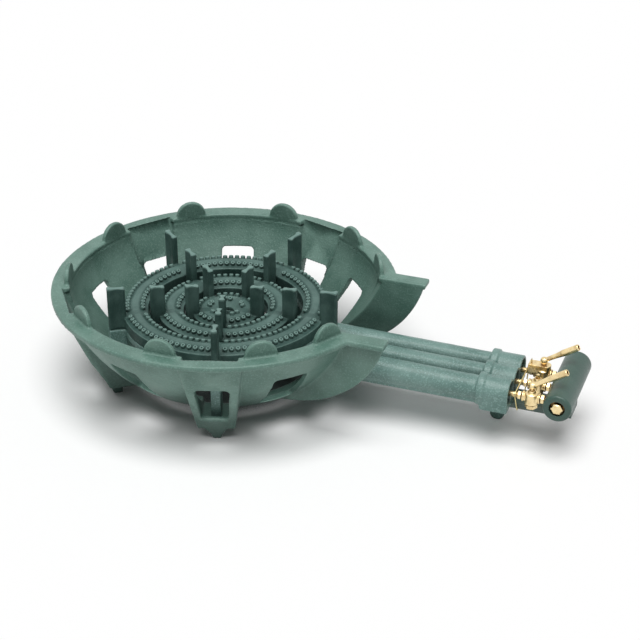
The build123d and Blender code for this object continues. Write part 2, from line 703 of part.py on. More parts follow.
def manifold_bracket():
    """Flat arm under the mouth block with a saddle for the manifold at its end."""
    side = (-BRACKET_HALF_WIDTH, BRACKET_HALF_WIDTH)
    arm_end = MANIFOLD_X + SADDLE_LENGTH / 2
    saddle_top = MANIFOLD_HEIGHT - MANIFOLD_RADIUS + SADDLE_RISE
    arm = block((MOUTH_END - BRACKET_LAP, arm_end), side, (BRACKET_BOTTOM, MOUTH_BOTTOM))
    arm += block((arm_end - SADDLE_LENGTH, arm_end), side, (BRACKET_BOTTOM, saddle_top))
    arm -= manifold_rod(-2 * BRACKET_HALF_WIDTH, 2 * BRACKET_HALF_WIDTH, MANIFOLD_RADIUS + SADDLE_CLEARANCE)
    for sign in (-1, 1):
        bolt = Pos(BRACKET_BOLT_X, sign * BRACKET_BOLT_OFFSET, BRACKET_BOTTOM)
        screw = Pos(MANIFOLD_X, sign * SCREW_OFFSET, BRACKET_BOTTOM)
        arm -= bolt * Cylinder(BOLT_HOLE, SEAM_HEIGHT)
        arm -= screw * Cylinder(SCREW_HOLE, SEAM_HEIGHT)
    return arm


def manifold():
    near_end = -MANIFOLD_NEAR_LENGTH
    far_end = MANIFOLD_FAR_LENGTH
    pipe = manifold_rod(near_end, far_end, MANIFOLD_RADIUS)
    pipe = fillet(pipe.edges().filter_by(GeomType.CIRCLE), MANIFOLD_END_ROUND)
    pipe -= manifold_rod(near_end, far_end, MANIFOLD_BORE)
    pipe -= manifold_rod(far_end - INLET_DEPTH, far_end, INLET_RADIUS)
    pipe -= manifold_rod(near_end, near_end + END_PLUG_DEPTH, INLET_RADIUS)
    for y in TUBE_OFFSETS:
        pipe -= gas_rod(y, COCK_X, MANIFOLD_X, NIPPLE_RADIUS)
    for screw_y in (-SCREW_OFFSET, SCREW_OFFSET):
        pipe -= rod((MANIFOLD_X, screw_y, 0), (MANIFOLD_X, screw_y, SCREW_TOP), SCREW_RADIUS)
    return pipe


def manifold_plug():
    inner_y = END_PLUG_DEPTH - MANIFOLD_NEAR_LENGTH
    face_y = inner_y - END_PLUG_THREAD
    face = (MANIFOLD_X, face_y, MANIFOLD_HEIGHT)
    tip = (MANIFOLD_X, face_y - END_PLUG_HEX, MANIFOLD_HEIGHT)
    return manifold_rod(inner_y, face_y, INLET_RADIUS - THREAD_CLEARANCE) + hex_rod(face, tip, END_PLUG_FLATS)


def gas_rod(y, start_x, end_x, radius):
    """Rod along the gas line of one valve."""
    return rod((start_x, y, TUBE_HEIGHT), (end_x, y, TUBE_HEIGHT), radius)


def stem_rod(y, bottom, top, radius):
    """Rod along the upright axis of one valve."""
    return rod((COCK_X, y, bottom), (COCK_X, y, top), radius)


def pin_rod(y, height, half_length, radius):
    return rod((COCK_X, y - half_length, height), (COCK_X, y + half_length, height), radius)


def plug_taper(y, inset):
    """Taper of the valve seat, wide end down, that the plug is pushed up into."""
    points = [
        (0, PLUG_BOTTOM + inset),
        (PLUG_RADIUS - inset, PLUG_BOTTOM + inset),
        (PLUG_TIP_RADIUS - inset, PLUG_TOP - inset),
        (0, PLUG_TOP - inset),
    ]
    return Pos(COCK_X, y, 0) * turned(points)


def cock_body(y):
    barrel = stem_rod(y, COCK_BOTTOM, COCK_TOP, COCK_RADIUS)
    barrel = chamfer(barrel.edges().filter_by(GeomType.CIRCLE), COCK_CHAMFER)
    return barrel + gas_rod(y, OUTLET_X, INLET_X, BOSS_RADIUS)


def blocked_cock_body(y):
    """Valve body with a long flat block on top, drilled for the bleed screw."""
    side = (y - FAR_BLOCK_WIDTH / 2, y + FAR_BLOCK_WIDTH / 2)
    height = (FAR_BLOCK_CEILING - FAR_BLOCK_HEIGHT, FAR_BLOCK_CEILING)
    slab = block((FAR_BLOCK_START, FAR_BLOCK_START + FAR_BLOCK_LENGTH), side, height)
    slab = fillet(slab.edges().filter_by(Axis.Z).sort_by(Axis.X)[2:], FAR_BLOCK_ROUND)
    slab -= gas_rod(y, FAR_BLOCK_START, OUTLET_X, JET_RADIUS + JET_CLEARANCE)
    bleed_foot = (BLEED_X, y, FAR_BLOCK_CEILING - BLEED_DEPTH)
    slab -= rod(bleed_foot, (BLEED_X, y, FAR_BLOCK_CEILING), BLEED_RADIUS + THREAD_CLEARANCE)
    return cock_body(y) + slab


def bored(y, body):
    """Valve body with its plug seat, stem hole, cap socket and gas way."""
    body -= plug_taper(y, 0)
    body -= stem_rod(y, TUBE_HEIGHT, SEAM_HEIGHT, STEM_RADIUS + PLUG_CLEARANCE)
    body -= stem_rod(y, COCK_BOTTOM, PLUG_BOTTOM, CAP_SPIGOT_RADIUS)
    body -= gas_rod(y, OUTLET_X, INLET_X, PLUG_PORT)
    body -= gas_rod(y, OUTLET_X, OUTLET_X + SOCKET_DEPTH, JET_RADIUS)
    return body - gas_rod(y, INLET_X - SOCKET_DEPTH, INLET_X, NIPPLE_RADIUS)


def cock_plug(y, stem_top):
    plug = plug_taper(y, PLUG_CLEARANCE) + stem_rod(y, TUBE_HEIGHT, stem_top, STEM_RADIUS)
    return plug - gas_rod(y, OUTLET_X, INLET_X, PLUG_PORT)


def levered_plug(y, hub_height):
    plug = cock_plug(y, hub_height + HUB_HALF_HEIGHT)
    return plug - pin_rod(y, hub_height, HUB_RADIUS, PIN_RADIUS + THREAD_CLEARANCE)


def spindle_plug(y):
    shoulder = TUBE_HEIGHT + SPINDLE_RISE - SPINDLE_SQUARE_LENGTH
    square = extrude(Rectangle(SPINDLE_SQUARE, SPINDLE_SQUARE), SPINDLE_SQUARE_LENGTH)
    return cock_plug(y, shoulder) + Pos(COCK_X, y, shoulder) * square


def cock_cap(y):
    cap = hex_rod((COCK_X, y, CAP_BOTTOM), (COCK_X, y, COCK_BOTTOM), CAP_FLATS)
    cap += stem_rod(y, COCK_BOTTOM, PLUG_BOTTOM, CAP_SPIGOT_RADIUS - THREAD_CLEARANCE)
    return cap - stem_rod(y, CAP_BOTTOM + CAP_FLOOR, PLUG_BOTTOM, CAP_BORE)


def cock_spring(y):
    seat = CAP_BOTTOM + CAP_FLOOR + SPRING_WIRE + PLUG_CLEARANCE
    height = PLUG_BOTTOM - SPRING_WIRE - seat
    coil = Pos(COCK_X, y, seat) * Helix(height / SPRING_TURNS, height, SPRING_RADIUS)
    return sweep(Plane(coil @ 0, z_dir=coil % 0) * Circle(SPRING_WIRE), coil)


def lever(y, hub_height):
    rise = math.radians(LEVER_RISE_ANGLE)
    along = Plane((COCK_X, y, hub_height), x_dir=(0, 1, 0), z_dir=(math.cos(rise), 0, math.sin(rise)))
    hub = Sphere(HUB_RADIUS) & Box(3 * HUB_RADIUS, 3 * HUB_RADIUS, 2 * HUB_HALF_HEIGHT)
    grip = Cylinder(GRIP_RADIUS, GRIP_LENGTH, align=ON_FLOOR)
    grip = fillet(grip.edges().filter_by(GeomType.CIRCLE), GRIP_ROUND)
    hollow = Cylinder(GRIP_HOLLOW_RADIUS, GRIP_HOLLOW_DEPTH, align=ON_FLOOR)
    grip -= Pos(0, 0, GRIP_LENGTH - GRIP_HOLLOW_DEPTH) * hollow
    handle = Pos(COCK_X, y, hub_height) * hub
    handle += along * Cylinder(LEVER_NECK_RADIUS, LEVER_NECK_LENGTH + GRIP_ROUND, align=ON_FLOOR)
    handle += along.offset(LEVER_NECK_LENGTH) * grip
    handle -= stem_rod(y, hub_height - HUB_RADIUS, hub_height + HUB_RADIUS, STEM_RADIUS + THREAD_CLEARANCE)
    return handle - pin_rod(y, hub_height, HUB_RADIUS, PIN_RADIUS + THREAD_CLEARANCE)


def lever_pin(y, hub_height):
    return pin_rod(y, hub_height, HUB_RADIUS - PIN_RADIUS / 2, PIN_RADIUS)


def jet(y):
    root = OUTLET_X + SOCKET_DEPTH
    tip = MOUTH_END - JET_INSERTION
    points = [
        (root, JET_BORE),
        (root, JET_RADIUS - THREAD_CLEARANCE),
        (tip + JET_TIP, JET_RADIUS - THREAD_CLEARANCE),
        (tip, JET_BORE),
        (tip, JET_ORIFICE),
        (tip + JET_TIP, JET_ORIFICE),
        (tip + JET_TIP, JET_BORE),
    ]
    return spun_x(points, y, TUBE_HEIGHT)


def inlet_nipple(y):
    root = INLET_X - SOCKET_DEPTH
    reach = MANIFOLD_X - MANIFOLD_RADIUS + NIPPLE_INSERTION
    hex_start = INLET_X + NIPPLE_HEX_GAP
    hex_end = hex_start + NIPPLE_HEX_LENGTH
    nipple = gas_rod(y, root, reach, NIPPLE_RADIUS - THREAD_CLEARANCE)
    nipple += hex_rod((hex_start, y, TUBE_HEIGHT), (hex_end, y, TUBE_HEIGHT), NIPPLE_FLATS)
    return nipple - gas_rod(y, root, reach, NIPPLE_BORE)


def bleed_screw(y):
    foot = FAR_BLOCK_CEILING - BLEED_DEPTH
    return rod((BLEED_X, y, foot), (BLEED_X, y, FAR_BLOCK_CEILING + BLEED_RISE), BLEED_RADIUS)


def tie_wire():
    """Taut wire loop round the three jets and the bracket arm, swept as two mirrored halves."""
    jet_loop = JET_RADIUS + WIRE_GAP + WIRE_RADIUS
    arm_loop = WIRE_GAP + WIRE_RADIUS
    inward = TUBE_PITCH - BRACKET_HALF_WIDTH
    drop = TUBE_HEIGHT - BRACKET_BOTTOM
    lean = math.atan2(drop, inward) - math.acos((jet_loop - arm_loop) / math.hypot(drop, inward))
    turn = math.degrees(lean)
    outward = Vector(math.cos(lean), math.sin(lean))
    jet_centre = Vector(TUBE_PITCH, TUBE_HEIGHT)
    arm_corner = Vector(BRACKET_HALF_WIDTH, BRACKET_BOTTOM)
    top = TUBE_HEIGHT + jet_loop
    bottom = BRACKET_BOTTOM - arm_loop
    path = Wire(
        [
            Line((0, top), (TUBE_PITCH, top)),
            CenterArc(jet_centre, jet_loop, 90, turn - 90),
            Line(jet_centre + outward * jet_loop, arm_corner + outward * arm_loop),
            CenterArc(arm_corner, arm_loop, turn, -90 - turn),
            Line((BRACKET_HALF_WIDTH, bottom), (0, bottom)),
        ]
    )
    across = Plane((MOUTH_END + WIRE_FROM_MOUTH, 0, 0), x_dir=(0, 1, 0), z_dir=(1, 0, 0))
    path = across * path
    half = sweep(Plane(path @ 0, z_dir=path % 0) * Circle(WIRE_RADIUS), path)
    return half + mirror(half, Plane.XZ)


os.makedirs("parts", exist_ok=True)

save("stand", stand())
save("burner_base", burner_base())
save("outer_ring_head", ring_head(OUTER_RING))
save("middle_ring_head", ring_head(MIDDLE_RING))
save("inner_ring_head", ring_head(INNER_RING))
save("ring_head_bolts", ring_head_bolts())
save("manifold", manifold())
save("manifold_plug", manifold_plug())
save("manifold_bracket", manifold_bracket())
save("bracket_bolts", bracket_bolts())
save("manifold_screws", manifold_screws())
save("tie_wire", tie_wire())

for valve, valve_y in zip(("near", "middle", "far"), TUBE_OFFSETS):
    save(f"{valve}_cock_cap", cock_cap(valve_y))
    save(f"{valve}_cock_spring", cock_spring(valve_y))
    save(f"{valve}_jet", jet(valve_y))
    save(f"{valve}_inlet_nipple", inlet_nipple(valve_y))

for valve, valve_y, hub in (("near", -TUBE_PITCH, NEAR_HUB_HEIGHT), ("far", TUBE_PITCH, FAR_HUB_HEIGHT)):
    save(f"{valve}_cock_plug", levered_plug(valve_y, hub))
    save(f"{valve}_lever", lever(valve_y, hub))
    save(f"{valve}_lever_pin", lever_pin(valve_y, hub))

save("near_cock_body", bored(-TUBE_PITCH, cock_body(-TUBE_PITCH)))
save("middle_cock_body", bored(0, cock_body(0)))
save("far_cock_body", bored(TUBE_PITCH, blocked_cock_body(TUBE_PITCH)))
save("middle_cock_plug", spindle_plug(0))
save("far_bleed_screw", bleed_screw(TUBE_PITCH))
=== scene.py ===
import math

import bmesh
import bpy
import numpy as np
from mathutils import Euler, Matrix, Vector, noise


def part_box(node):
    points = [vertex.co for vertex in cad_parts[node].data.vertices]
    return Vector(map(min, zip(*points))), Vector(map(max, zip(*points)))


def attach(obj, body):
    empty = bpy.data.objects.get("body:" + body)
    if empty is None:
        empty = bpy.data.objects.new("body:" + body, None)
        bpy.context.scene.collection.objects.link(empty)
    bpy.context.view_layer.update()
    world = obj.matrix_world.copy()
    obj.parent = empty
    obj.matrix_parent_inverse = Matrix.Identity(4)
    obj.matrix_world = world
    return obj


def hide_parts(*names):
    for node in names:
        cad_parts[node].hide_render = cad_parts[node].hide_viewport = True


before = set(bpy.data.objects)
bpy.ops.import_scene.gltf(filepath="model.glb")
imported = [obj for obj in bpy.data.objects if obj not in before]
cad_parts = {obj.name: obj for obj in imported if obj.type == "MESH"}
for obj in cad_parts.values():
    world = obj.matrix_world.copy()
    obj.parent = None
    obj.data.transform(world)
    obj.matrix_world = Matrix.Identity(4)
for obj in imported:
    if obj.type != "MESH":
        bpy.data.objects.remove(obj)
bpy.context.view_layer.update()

# Stand. One sand casting of grey iron: a bowl with a flanged rim, four hollow legs on pegs,
# ten half-disc lugs and an open spout. It is dipped in green paint, so its edges are soft and
# the grain of the sand shows through the film.


def add(tree, kind, values=None, **settings):
    """New node in a tree, with its settings and its inputs linked or set."""
    made = tree.nodes.new(kind)
    for setting, value in settings.items():
        setattr(made, setting, value)
    for socket, value in (values or {}).items():
        if isinstance(value, bpy.types.NodeSocket):
            tree.links.new(value, made.inputs[socket])
        else:
            made.inputs[socket].default_value = value
    return made


def new_group(name, kind, wants, gives):
    """Empty node group with named sockets, and its two end nodes."""
    tree = bpy.data.node_groups.new(name, kind)
    for label, socket_kind, value in wants:
        socket = tree.interface.new_socket(label, in_out="INPUT", socket_type=socket_kind)
        if value is not None:
            socket.default_value = value
    for label, socket_kind in gives:
        tree.interface.new_socket(label, in_out="OUTPUT", socket_type=socket_kind)
    return tree, tree.nodes.new("NodeGroupInput").outputs, tree.nodes.new("NodeGroupOutput")


def mixed(tree, share, first, second):
    """Blend of two colours."""
    blend = add(tree, "ShaderNodeMix", {0: share, 6: first, 7: second}, data_type="RGBA")
    return blend.outputs[2]


def between(tree, value, low, high, low_result, high_result):
    """A value carried from one range to another, held at the ends."""
    sockets = {"Value": value, 1: low, 2: high, 3: low_result, 4: high_result}
    return add(tree, "ShaderNodeMapRange", sockets, interpolation_type="SMOOTHSTEP").outputs[0]


def arithmetic(tree, operation, first, second):
    """Sum, product or other result of two values."""
    return add(tree, "ShaderNodeMath", {0: first, 1: second}, operation=operation).outputs[0]


def mottle(tree, scale, detail, roughness=0.5):
    """Cloudy pattern over the piece, from 0 to 1."""
    place = add(tree, "ShaderNodeTexCoord").outputs["Object"]
    sockets = {"Vector": place, "Scale": scale, "Detail": detail, "Roughness": roughness}
    return add(tree, "ShaderNodeTexNoise", sockets).outputs["Fac"]


def openness(tree, reach, samples=8):
    """How open a spot is: 0 deep in a hollow, 1 on a free face."""
    sky = add(tree, "ShaderNodeAmbientOcclusion", {"Distance": reach}, samples=samples)
    return sky.outputs["AO"]


skin_results = [
    ("Color", "NodeSocketColor"),
    ("Roughness", "NodeSocketFloat"),
    ("Height", "NodeSocketFloat"),
]


def sand_grain_group():
    """Cast skin under paint: cloudy colour, sand grain, small pits, painted highlights on edges and
    tops, and painted shade in hollows.
    """
    tree, wants, gives = new_group(
        "Sand cast skin",
        "ShaderNodeTree",
        [
            ("Paint", "NodeSocketColor", (0.1, 0.2, 0.16, 1)),
            ("Pale Paint", "NodeSocketColor", (0.2, 0.3, 0.26, 1)),
            ("Grain Scale", "NodeSocketFloat", 420.0),
            ("Grain Share", "NodeSocketFloat", 0.7),
            ("Edge Highlight Share", "NodeSocketFloat", 0.6),
            ("Hollow Shade Reach", "NodeSocketFloat", 0.025),
            ("Roughness", "NodeSocketFloat", 0.45),
        ],
        skin_results,
    )
    cloud_scale = 28.0
    cloud_range = (0.35, 0.68)
    most_cloud = 0.35
    grain_range = (0.5, 0.66)
    swing_range = (0.3, 0.7)
    roughness_swing = (-0.08, 0.1)
    pits_to_grain = 0.45
    pit_range = (0.05, 0.28)
    pit_depth = -0.5
    edge_highlight_range = (0.52, 0.60)
    hollow_shade_range = (0.3, 0.8)
    most_hollow_shade = 0.7
    hollow_shade_colour = (0.012, 0.028, 0.023, 1)
    clouds = mottle(tree, cloud_scale, detail=4.0)
    grain = mottle(tree, wants["Grain Scale"], detail=3.0, roughness=0.65)
    place = add(tree, "ShaderNodeTexCoord").outputs["Object"]
    pit_scale = arithmetic(tree, "MULTIPLY", wants["Grain Scale"], pits_to_grain)
    pit_cells = add(tree, "ShaderNodeTexVoronoi", {"Vector": place, "Scale": pit_scale})
    pits = between(tree, pit_cells.outputs["Distance"], *pit_range, 1.0, 0.0)
    # Painted highlight: pale paint on sharp edges and on the marked tops, where the light catches
    # them.
    pointed = add(tree, "ShaderNodeNewGeometry").outputs["Pointiness"]
    edge_highlight = between(tree, pointed, *edge_highlight_range, 0.0, 1.0)
    edge_highlight = arithmetic(tree, "MULTIPLY", edge_highlight, wants["Edge Highlight Share"])
    painted_highlight = add(tree, "ShaderNodeAttribute", attribute_name="painted_highlight").outputs["Fac"]
    edge_highlight = arithmetic(tree, "MAXIMUM", edge_highlight, painted_highlight)
    cloud_share = between(tree, clouds, *cloud_range, 0.0, most_cloud)
    grain_share = between(tree, grain, *grain_range, 0.0, 1.0)
    grain_share = arithmetic(tree, "MULTIPLY", grain_share, wants["Grain Share"])
    # Painted shade: the paint turns dark in hollows, where less light reaches.
    open_share = openness(tree, wants["Hollow Shade Reach"])
    painted_hollow_shade = between(tree, open_share, *hollow_shade_range, most_hollow_shade, 0.0)
    colour = mixed(tree, cloud_share, wants["Paint"], wants["Pale Paint"])
    colour = mixed(tree, grain_share, colour, wants["Pale Paint"])
    colour = mixed(tree, edge_highlight, colour, wants["Pale Paint"])
    colour = mixed(tree, painted_hollow_shade, colour, hollow_shade_colour)
    grain_roughness = between(tree, grain, *swing_range, *roughness_swing)
    roughness = arithmetic(tree, "ADD", wants["Roughness"], grain_roughness)
    height = arithmetic(tree, "ADD", grain, arithmetic(tree, "MULTIPLY", pits, pit_depth))
    for label, result in (("Color", colour), ("Roughness", roughness), ("Height", height)):
        tree.links.new(result, gives.inputs[label])
    return tree


sand_cast_skin = sand_grain_group()


def skinned(name, skin_group, values, bump_strength, relief):
    """Material whose colour, roughness and bumps come from a skin group, and its shader."""
    material = bpy.data.materials.new(name)
    material.use_nodes = True
    tree = material.node_tree
    shader = tree.nodes["Principled BSDF"]
    skin = add(tree, "ShaderNodeGroup", values, node_tree=skin_group)
    bumps = {"Strength": bump_strength, "Distance": relief, "Height": skin.outputs["Height"]}
    bump = add(tree, "ShaderNodeBump", bumps)
    tree.links.new(skin.outputs["Color"], shader.inputs["Base Color"])
    tree.links.new(skin.outputs["Roughness"], shader.inputs["Roughness"])
    tree.links.new(bump.outputs["Normal"], shader.inputs["Normal"])
    return material, shader


def painted_iron(
    name,
    paint,
    pale,
    grain_scale,
    grain_share,
    edge_highlight_share,
    hollow_shade_reach,
    roughness,
    relief,
    gloss=0.5,
):
    """Painted cast iron: a film of paint whose bumps are the sand grain under it."""
    values = {
        "Paint": (*paint, 1),
        "Pale Paint": (*pale, 1),
        "Grain Scale": grain_scale,
        "Grain Share": grain_share,
        "Edge Highlight Share": edge_highlight_share,
        "Hollow Shade Reach": hollow_shade_reach,
        "Roughness": roughness,
    }
    material, shader = skinned(name, sand_cast_skin, values, bump_strength=0.7, relief=relief)
    shader.inputs["Specular IOR Level"].default_value = gloss
    return material


def shown(name, mesh):
    """Object at the origin for a mesh that is already in its place."""
    piece = bpy.data.objects.new(name, mesh)
    bpy.context.scene.collection.objects.link(piece)
    return piece


def plain_mesh(piece):
    """The piece with its modifiers turned into a plain smooth mesh."""
    worked = piece.evaluated_get(bpy.context.evaluated_depsgraph_get())
    finished = bpy.data.meshes.new_from_object(worked)
    piece.modifiers.clear()
    piece.data = finished
    finished.shade_smooth()
    return piece


def mesh_of(name, work):
    """Mesh from finished edit work."""
    mesh = bpy.data.meshes.new(name)
    work.to_mesh(mesh)
    work.free()
    return mesh


def poured(name, shells, grid, passes):
    """One closed skin over joined shells, its edges eased as a mould eases them."""
    work = bmesh.new()
    for shell in shells:
        work.from_mesh(shell)
    bmesh.ops.remove_doubles(work, verts=work.verts, dist=1e-6)
    piece = shown(name, mesh_of(name, work))
    skin = piece.modifiers.new("Skin", "REMESH")
    skin.mode = "VOXEL"
    skin.voxel_size = grid
    ease = piece.modifiers.new("Eased edges", "SMOOTH")
    ease.factor = 0.5
    ease.iterations = passes
    return plain_mesh(piece)


def thinned(piece, kept):
    """The piece with fewer faces where it is flat."""
    piece.modifiers.new("Fewer faces", "DECIMATE").ratio = kept
    return plain_mesh(piece)


def read_points(mesh, what="co"):
    """Places or normals of all points of a mesh, one row for each."""
    values = np.empty(3 * len(mesh.vertices), np.float32)
    mesh.vertices.foreach_get(what, values)
    return values.reshape(-1, 3)


def write_places(mesh, places):
    """Puts all points of a mesh at new places."""
    mesh.vertices.foreach_set("co", places.ravel())
    mesh.update()


def sand_waves(piece, size, depth):
    """Slow unevenness of a sand mould, moved along each point's normal."""
    fine_share = 0.5
    fine_scale = 3.2
    places = read_points(piece.data)
    normals = read_points(piece.data, "normal")
    swell = []
    for spot in places / size:
        spot = Vector(spot)
        swell.append(noise.noise(spot) + fine_share * noise.noise(spot * fine_scale))
    places += normals * (np.array(swell, np.float32) * depth)[:, None]
    write_places(piece.data, places)


def finish_piece(piece, material, body, slot, *nodes):
    """Gives a piece its material and its body, and hides the solids that it stands for. The slot is
    not used.
    """
    piece.data.materials.clear()
    piece.data.materials.append(material)
    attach(piece, body)
    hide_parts(*nodes)


def solid(node):
    """Mesh of a solid."""
    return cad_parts[node].data


# The long reach of its painted hollow shade darkens the inner walls of the bowl.
stand_paint = painted_iron(
    "Green paint on the stand",
    paint=(0.087, 0.182, 0.146),
    pale=(0.235, 0.375, 0.32),
    grain_scale=430.0,
    grain_share=0.45,
    edge_highlight_share=0.65,
    hollow_shade_reach=0.1,
    roughness=0.44,
    relief=0.0006,
)
rim_radius = 0.215
bowl_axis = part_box("stand")[0].x + rim_radius
flange_width = 0.023
under_flange = 0.1315
spout_half = 0.085
leg_turns = (72, 144, 216, 288)
leg_setback = 0.013
leg_lean = 0.41
leg_foot = 0.018
leg_foot_width = 0.046
leg_top_width = 0.077
leg_wall = 0.007
leg_facing = 0.3
edge_ramp = 0.002
pocket_floor = 0.036
pocket_extra = 0.0025
pocket_reach = 0.004
face_foot = 0.03
face_fade = 0.03
face_proud = 0.004
face_reach = 0.006
wall_facing = 0.25
wall_inset = 0.0037
inset_foot = 0.095
undercut = 0.0055
undercut_band = 0.0015
grid_slack = 0.0004


def leg_panels(piece):
    """Flat pockets behind the legs, leg faces proud of the bowl, and no undercut at the rim."""
    places = read_points(piece.data)
    sideways = read_points(piece.data, "normal")[:, :2]
    flat = places[:, :2] - np.array((bowl_axis, 0))
    reach = np.hypot(flat[:, 0], flat[:, 1])
    height = places[:, 2]
    widening = (leg_top_width - leg_foot_width) / (under_flange - leg_foot)
    half_width = (leg_foot_width + widening * (height - leg_foot)) / 2
    face = rim_radius - leg_setback - leg_lean * (under_flange - height)
    back = face - leg_wall * math.hypot(1, leg_lean)
    proud = face_proud * np.clip((height - face_foot) / face_fade, 0, 1)
    inner_edge = rim_radius - flange_width
    plain_wall = (flat[:, 0] < 0) | (np.abs(flat[:, 1]) > spout_half)
    for turn in leg_turns:
        outward = np.array((math.cos(math.radians(turn)), math.sin(math.radians(turn))))
        along = flat @ outward
        across = np.abs(flat @ np.array((-outward[1], outward[0])))
        facing = sideways @ outward
        plain_wall &= (along < 0) | (across > half_width - leg_wall + edge_ramp)
        in_pocket = (facing < -leg_facing) & (np.abs(along - back) < pocket_reach)
        in_pocket &= height > pocket_floor
        share = np.clip((half_width - leg_wall - across) / edge_ramp + 1, 0, 1) * in_pocket
        on_face = (facing > leg_facing) & (np.abs(along - face) < face_reach)
        on_face &= (height > face_foot) & (height < under_flange)
        face_share = np.clip((half_width - across) / edge_ramp, 0, 1) * on_face
        push = (back + pocket_extra - along) * share + (face + proud - along) * face_share
        places[:, :2] += np.outer(push, outward)
    below_flange = plain_wall & (height < under_flange + grid_slack)
    below_flange &= reach < inner_edge + undercut
    faces_in = (sideways * flat).sum(axis=1) < -wall_facing * reach
    upper_wall = below_flange & (height > inset_foot) & faces_in
    climb = np.clip((height - inset_foot) / (under_flange - inset_foot), 0, 1)
    inset = wall_inset * climb ** 3 * upper_wall
    under_edge = below_flange & (height > under_flange - undercut_band) & (reach > inner_edge)
    new_reach = np.where(under_edge, inner_edge, reach - inset)
    places[:, :2] += flat * (new_reach / np.maximum(reach, 1e-6) - 1)[:, None]
    write_places(piece.data, places)


stand = poured("stand_casting", [solid("stand")], grid=0.0014, passes=1)
leg_panels(stand)
thinned(stand, kept=0.36)
sand_waves(stand, size=0.022, depth=0.00022)
finish_piece(stand, stand_paint, "stand", "stand_green", "stand")

# Burner base. One sand casting: three round troughs on ribs, four columns that stand on the leg
# floors, three mixing tubes side by side, and the mouth block with its foot. Painted green.
burner_paint = painted_iron(
    "Green paint on the burner",
    paint=(0.1, 0.195, 0.172),
    pale=(0.27, 0.415, 0.38),
    grain_scale=480.0,
    grain_share=0.7,
    edge_highlight_share=0.5,
    hollow_shade_reach=0.03,
    roughness=0.36,
    relief=0.0005,
)
tube_pitch = 0.0293
gas_height = 0.0695
tubes_start = 0.19
skirt_end = 0.34
skirt_reach = tube_pitch + 0.0118
skirt_low = gas_height - 0.0147
skirt_high = gas_height - 0.0085
groove_half = 0.0075
groove_sharpness = 1.4
groove_depth = 0.0045
groove_run_in = 0.01
groove_end = 0.337
groove_run_out = 0.002


def strip(low, high):
    """Straight bar between two corners."""
    work = bmesh.new()
    bmesh.ops.create_cube(work, size=1)
    span = [top - bottom for bottom, top in zip(low, high)]
    middle = [(top + bottom) / 2 for bottom, top in zip(low, high)]
    bmesh.ops.scale(work, vec=span, verts=work.verts)
    bmesh.ops.translate(work, vec=middle, verts=work.verts)
    return mesh_of("strip", work)


def deepen_grooves(piece):
    """Sharp valleys between the tubes, from the bowl to the collar."""
    places = read_points(piece.data)
    along = places[:, 0] - bowl_axis
    from_valley = np.abs(np.abs(places[:, 1]) - tube_pitch / 2)
    share = np.clip(1 - from_valley / groove_half, 0, 1) ** groove_sharpness
    run_in = np.clip((along - tubes_start) / groove_run_in, 0, 1)
    run_out = np.clip((groove_end - along) / groove_run_out, 0, 1)
    share *= run_in * run_out
    share *= places[:, 2] > gas_height
    places[:, 2] -= groove_depth * share
    write_places(piece.data, places)


skirt = strip(
    (bowl_axis + tubes_start, -skirt_reach, skirt_low),
    (bowl_axis + skirt_end, skirt_reach, skirt_high),
)
base = poured("burner_base_casting", [solid("burner_base"), skirt], grid=0.0012, passes=1)
deepen_grooves(base)
thinned(base, kept=0.36)
sand_waves(base, size=0.02, depth=0.00018)
finish_piece(base, burner_paint, "burner", "burner_green", "burner_base")

# Ring heads. Three cast iron rings that close the troughs. Each has a low ridge, two rows of
# drilled studs that are the flame ports, and five fluted prongs that a pot stands on.
ring_paint = painted_iron(
    "Green paint on the ring heads",
    paint=(0.026, 0.063, 0.054),
    pale=(0.175, 0.285, 0.255),
    grain_scale=620.0,
    grain_share=0.1,
    edge_highlight_share=0.6,
    hollow_shade_reach=0.025,
    roughness=0.46,
    relief=0.0004,
    gloss=0.2,
)
seam_height = 0.09
ring_width = 0.032
ring_wall = 0.0045
ridge_width = 0.007
ridge_slope = (ring_width - ridge_width) / 2
lip_drop = 0.005
lip_land = 0.0014
lip_round = 0.0002
prong_count = 5
sector = math.radians(72)


def turned(profile, sides, closed=False):
    """Shell spun about Z from (radius, height) points; a third number gives that many flats."""
    work = bmesh.new()
    rings = []
    for radius, height, *flats in profile:
        if radius == 0:
            rings.append([work.verts.new((0, 0, height))] * sides)
            continue
        ring = []
        for step in range(sides):
            angle = 2 * math.pi * step / sides
            reach = radius
            if flats:
                half_flat = math.pi / flats[0]
                reach = radius / math.cos(angle % (2 * half_flat) - half_flat)
            spot = (reach * math.cos(angle), reach * math.sin(angle), height)
            ring.append(work.verts.new(spot))
        rings.append(ring)
    pairs = list(zip(rings, rings[1:]))
    if closed:
        pairs.append((rings[-1], rings[0]))
    for low, high in pairs:
        for step in range(sides):
            following = (step + 1) % sides
            corners = [low[step], low[following], high[following], high[step]]
            work.faces.new(list(dict.fromkeys(corners)))
    bmesh.ops.recalc_face_normals(work, faces=work.faces)
    return mesh_of("turned", work)


def ring_profile(outer, ridge_top):
    """Wall of a ring head: outside from the seam over the ridge, then back along the hollow."""
    inner = outer - ring_width
    middle = outer - ring_width / 2
    lip = ridge_top - lip_drop
    half_ridge = ridge_width / 2
    outside = [
        (inner, seam_height),
        (inner, lip),
        (inner + lip_land, lip + lip_round),
        (middle - half_ridge, ridge_top),
        (middle + half_ridge, ridge_top),
        (outer - lip_land, lip + lip_round),
        (outer, lip),
        (outer, seam_height),
    ]
    hollow = [
        (outer - ring_wall, seam_height),
        (outer - ring_wall, lip - ring_wall),
        (middle, ridge_top - ring_wall),
        (inner + ring_wall, lip - ring_wall),
        (inner + ring_wall, seam_height),
    ]
    return outside + hollow


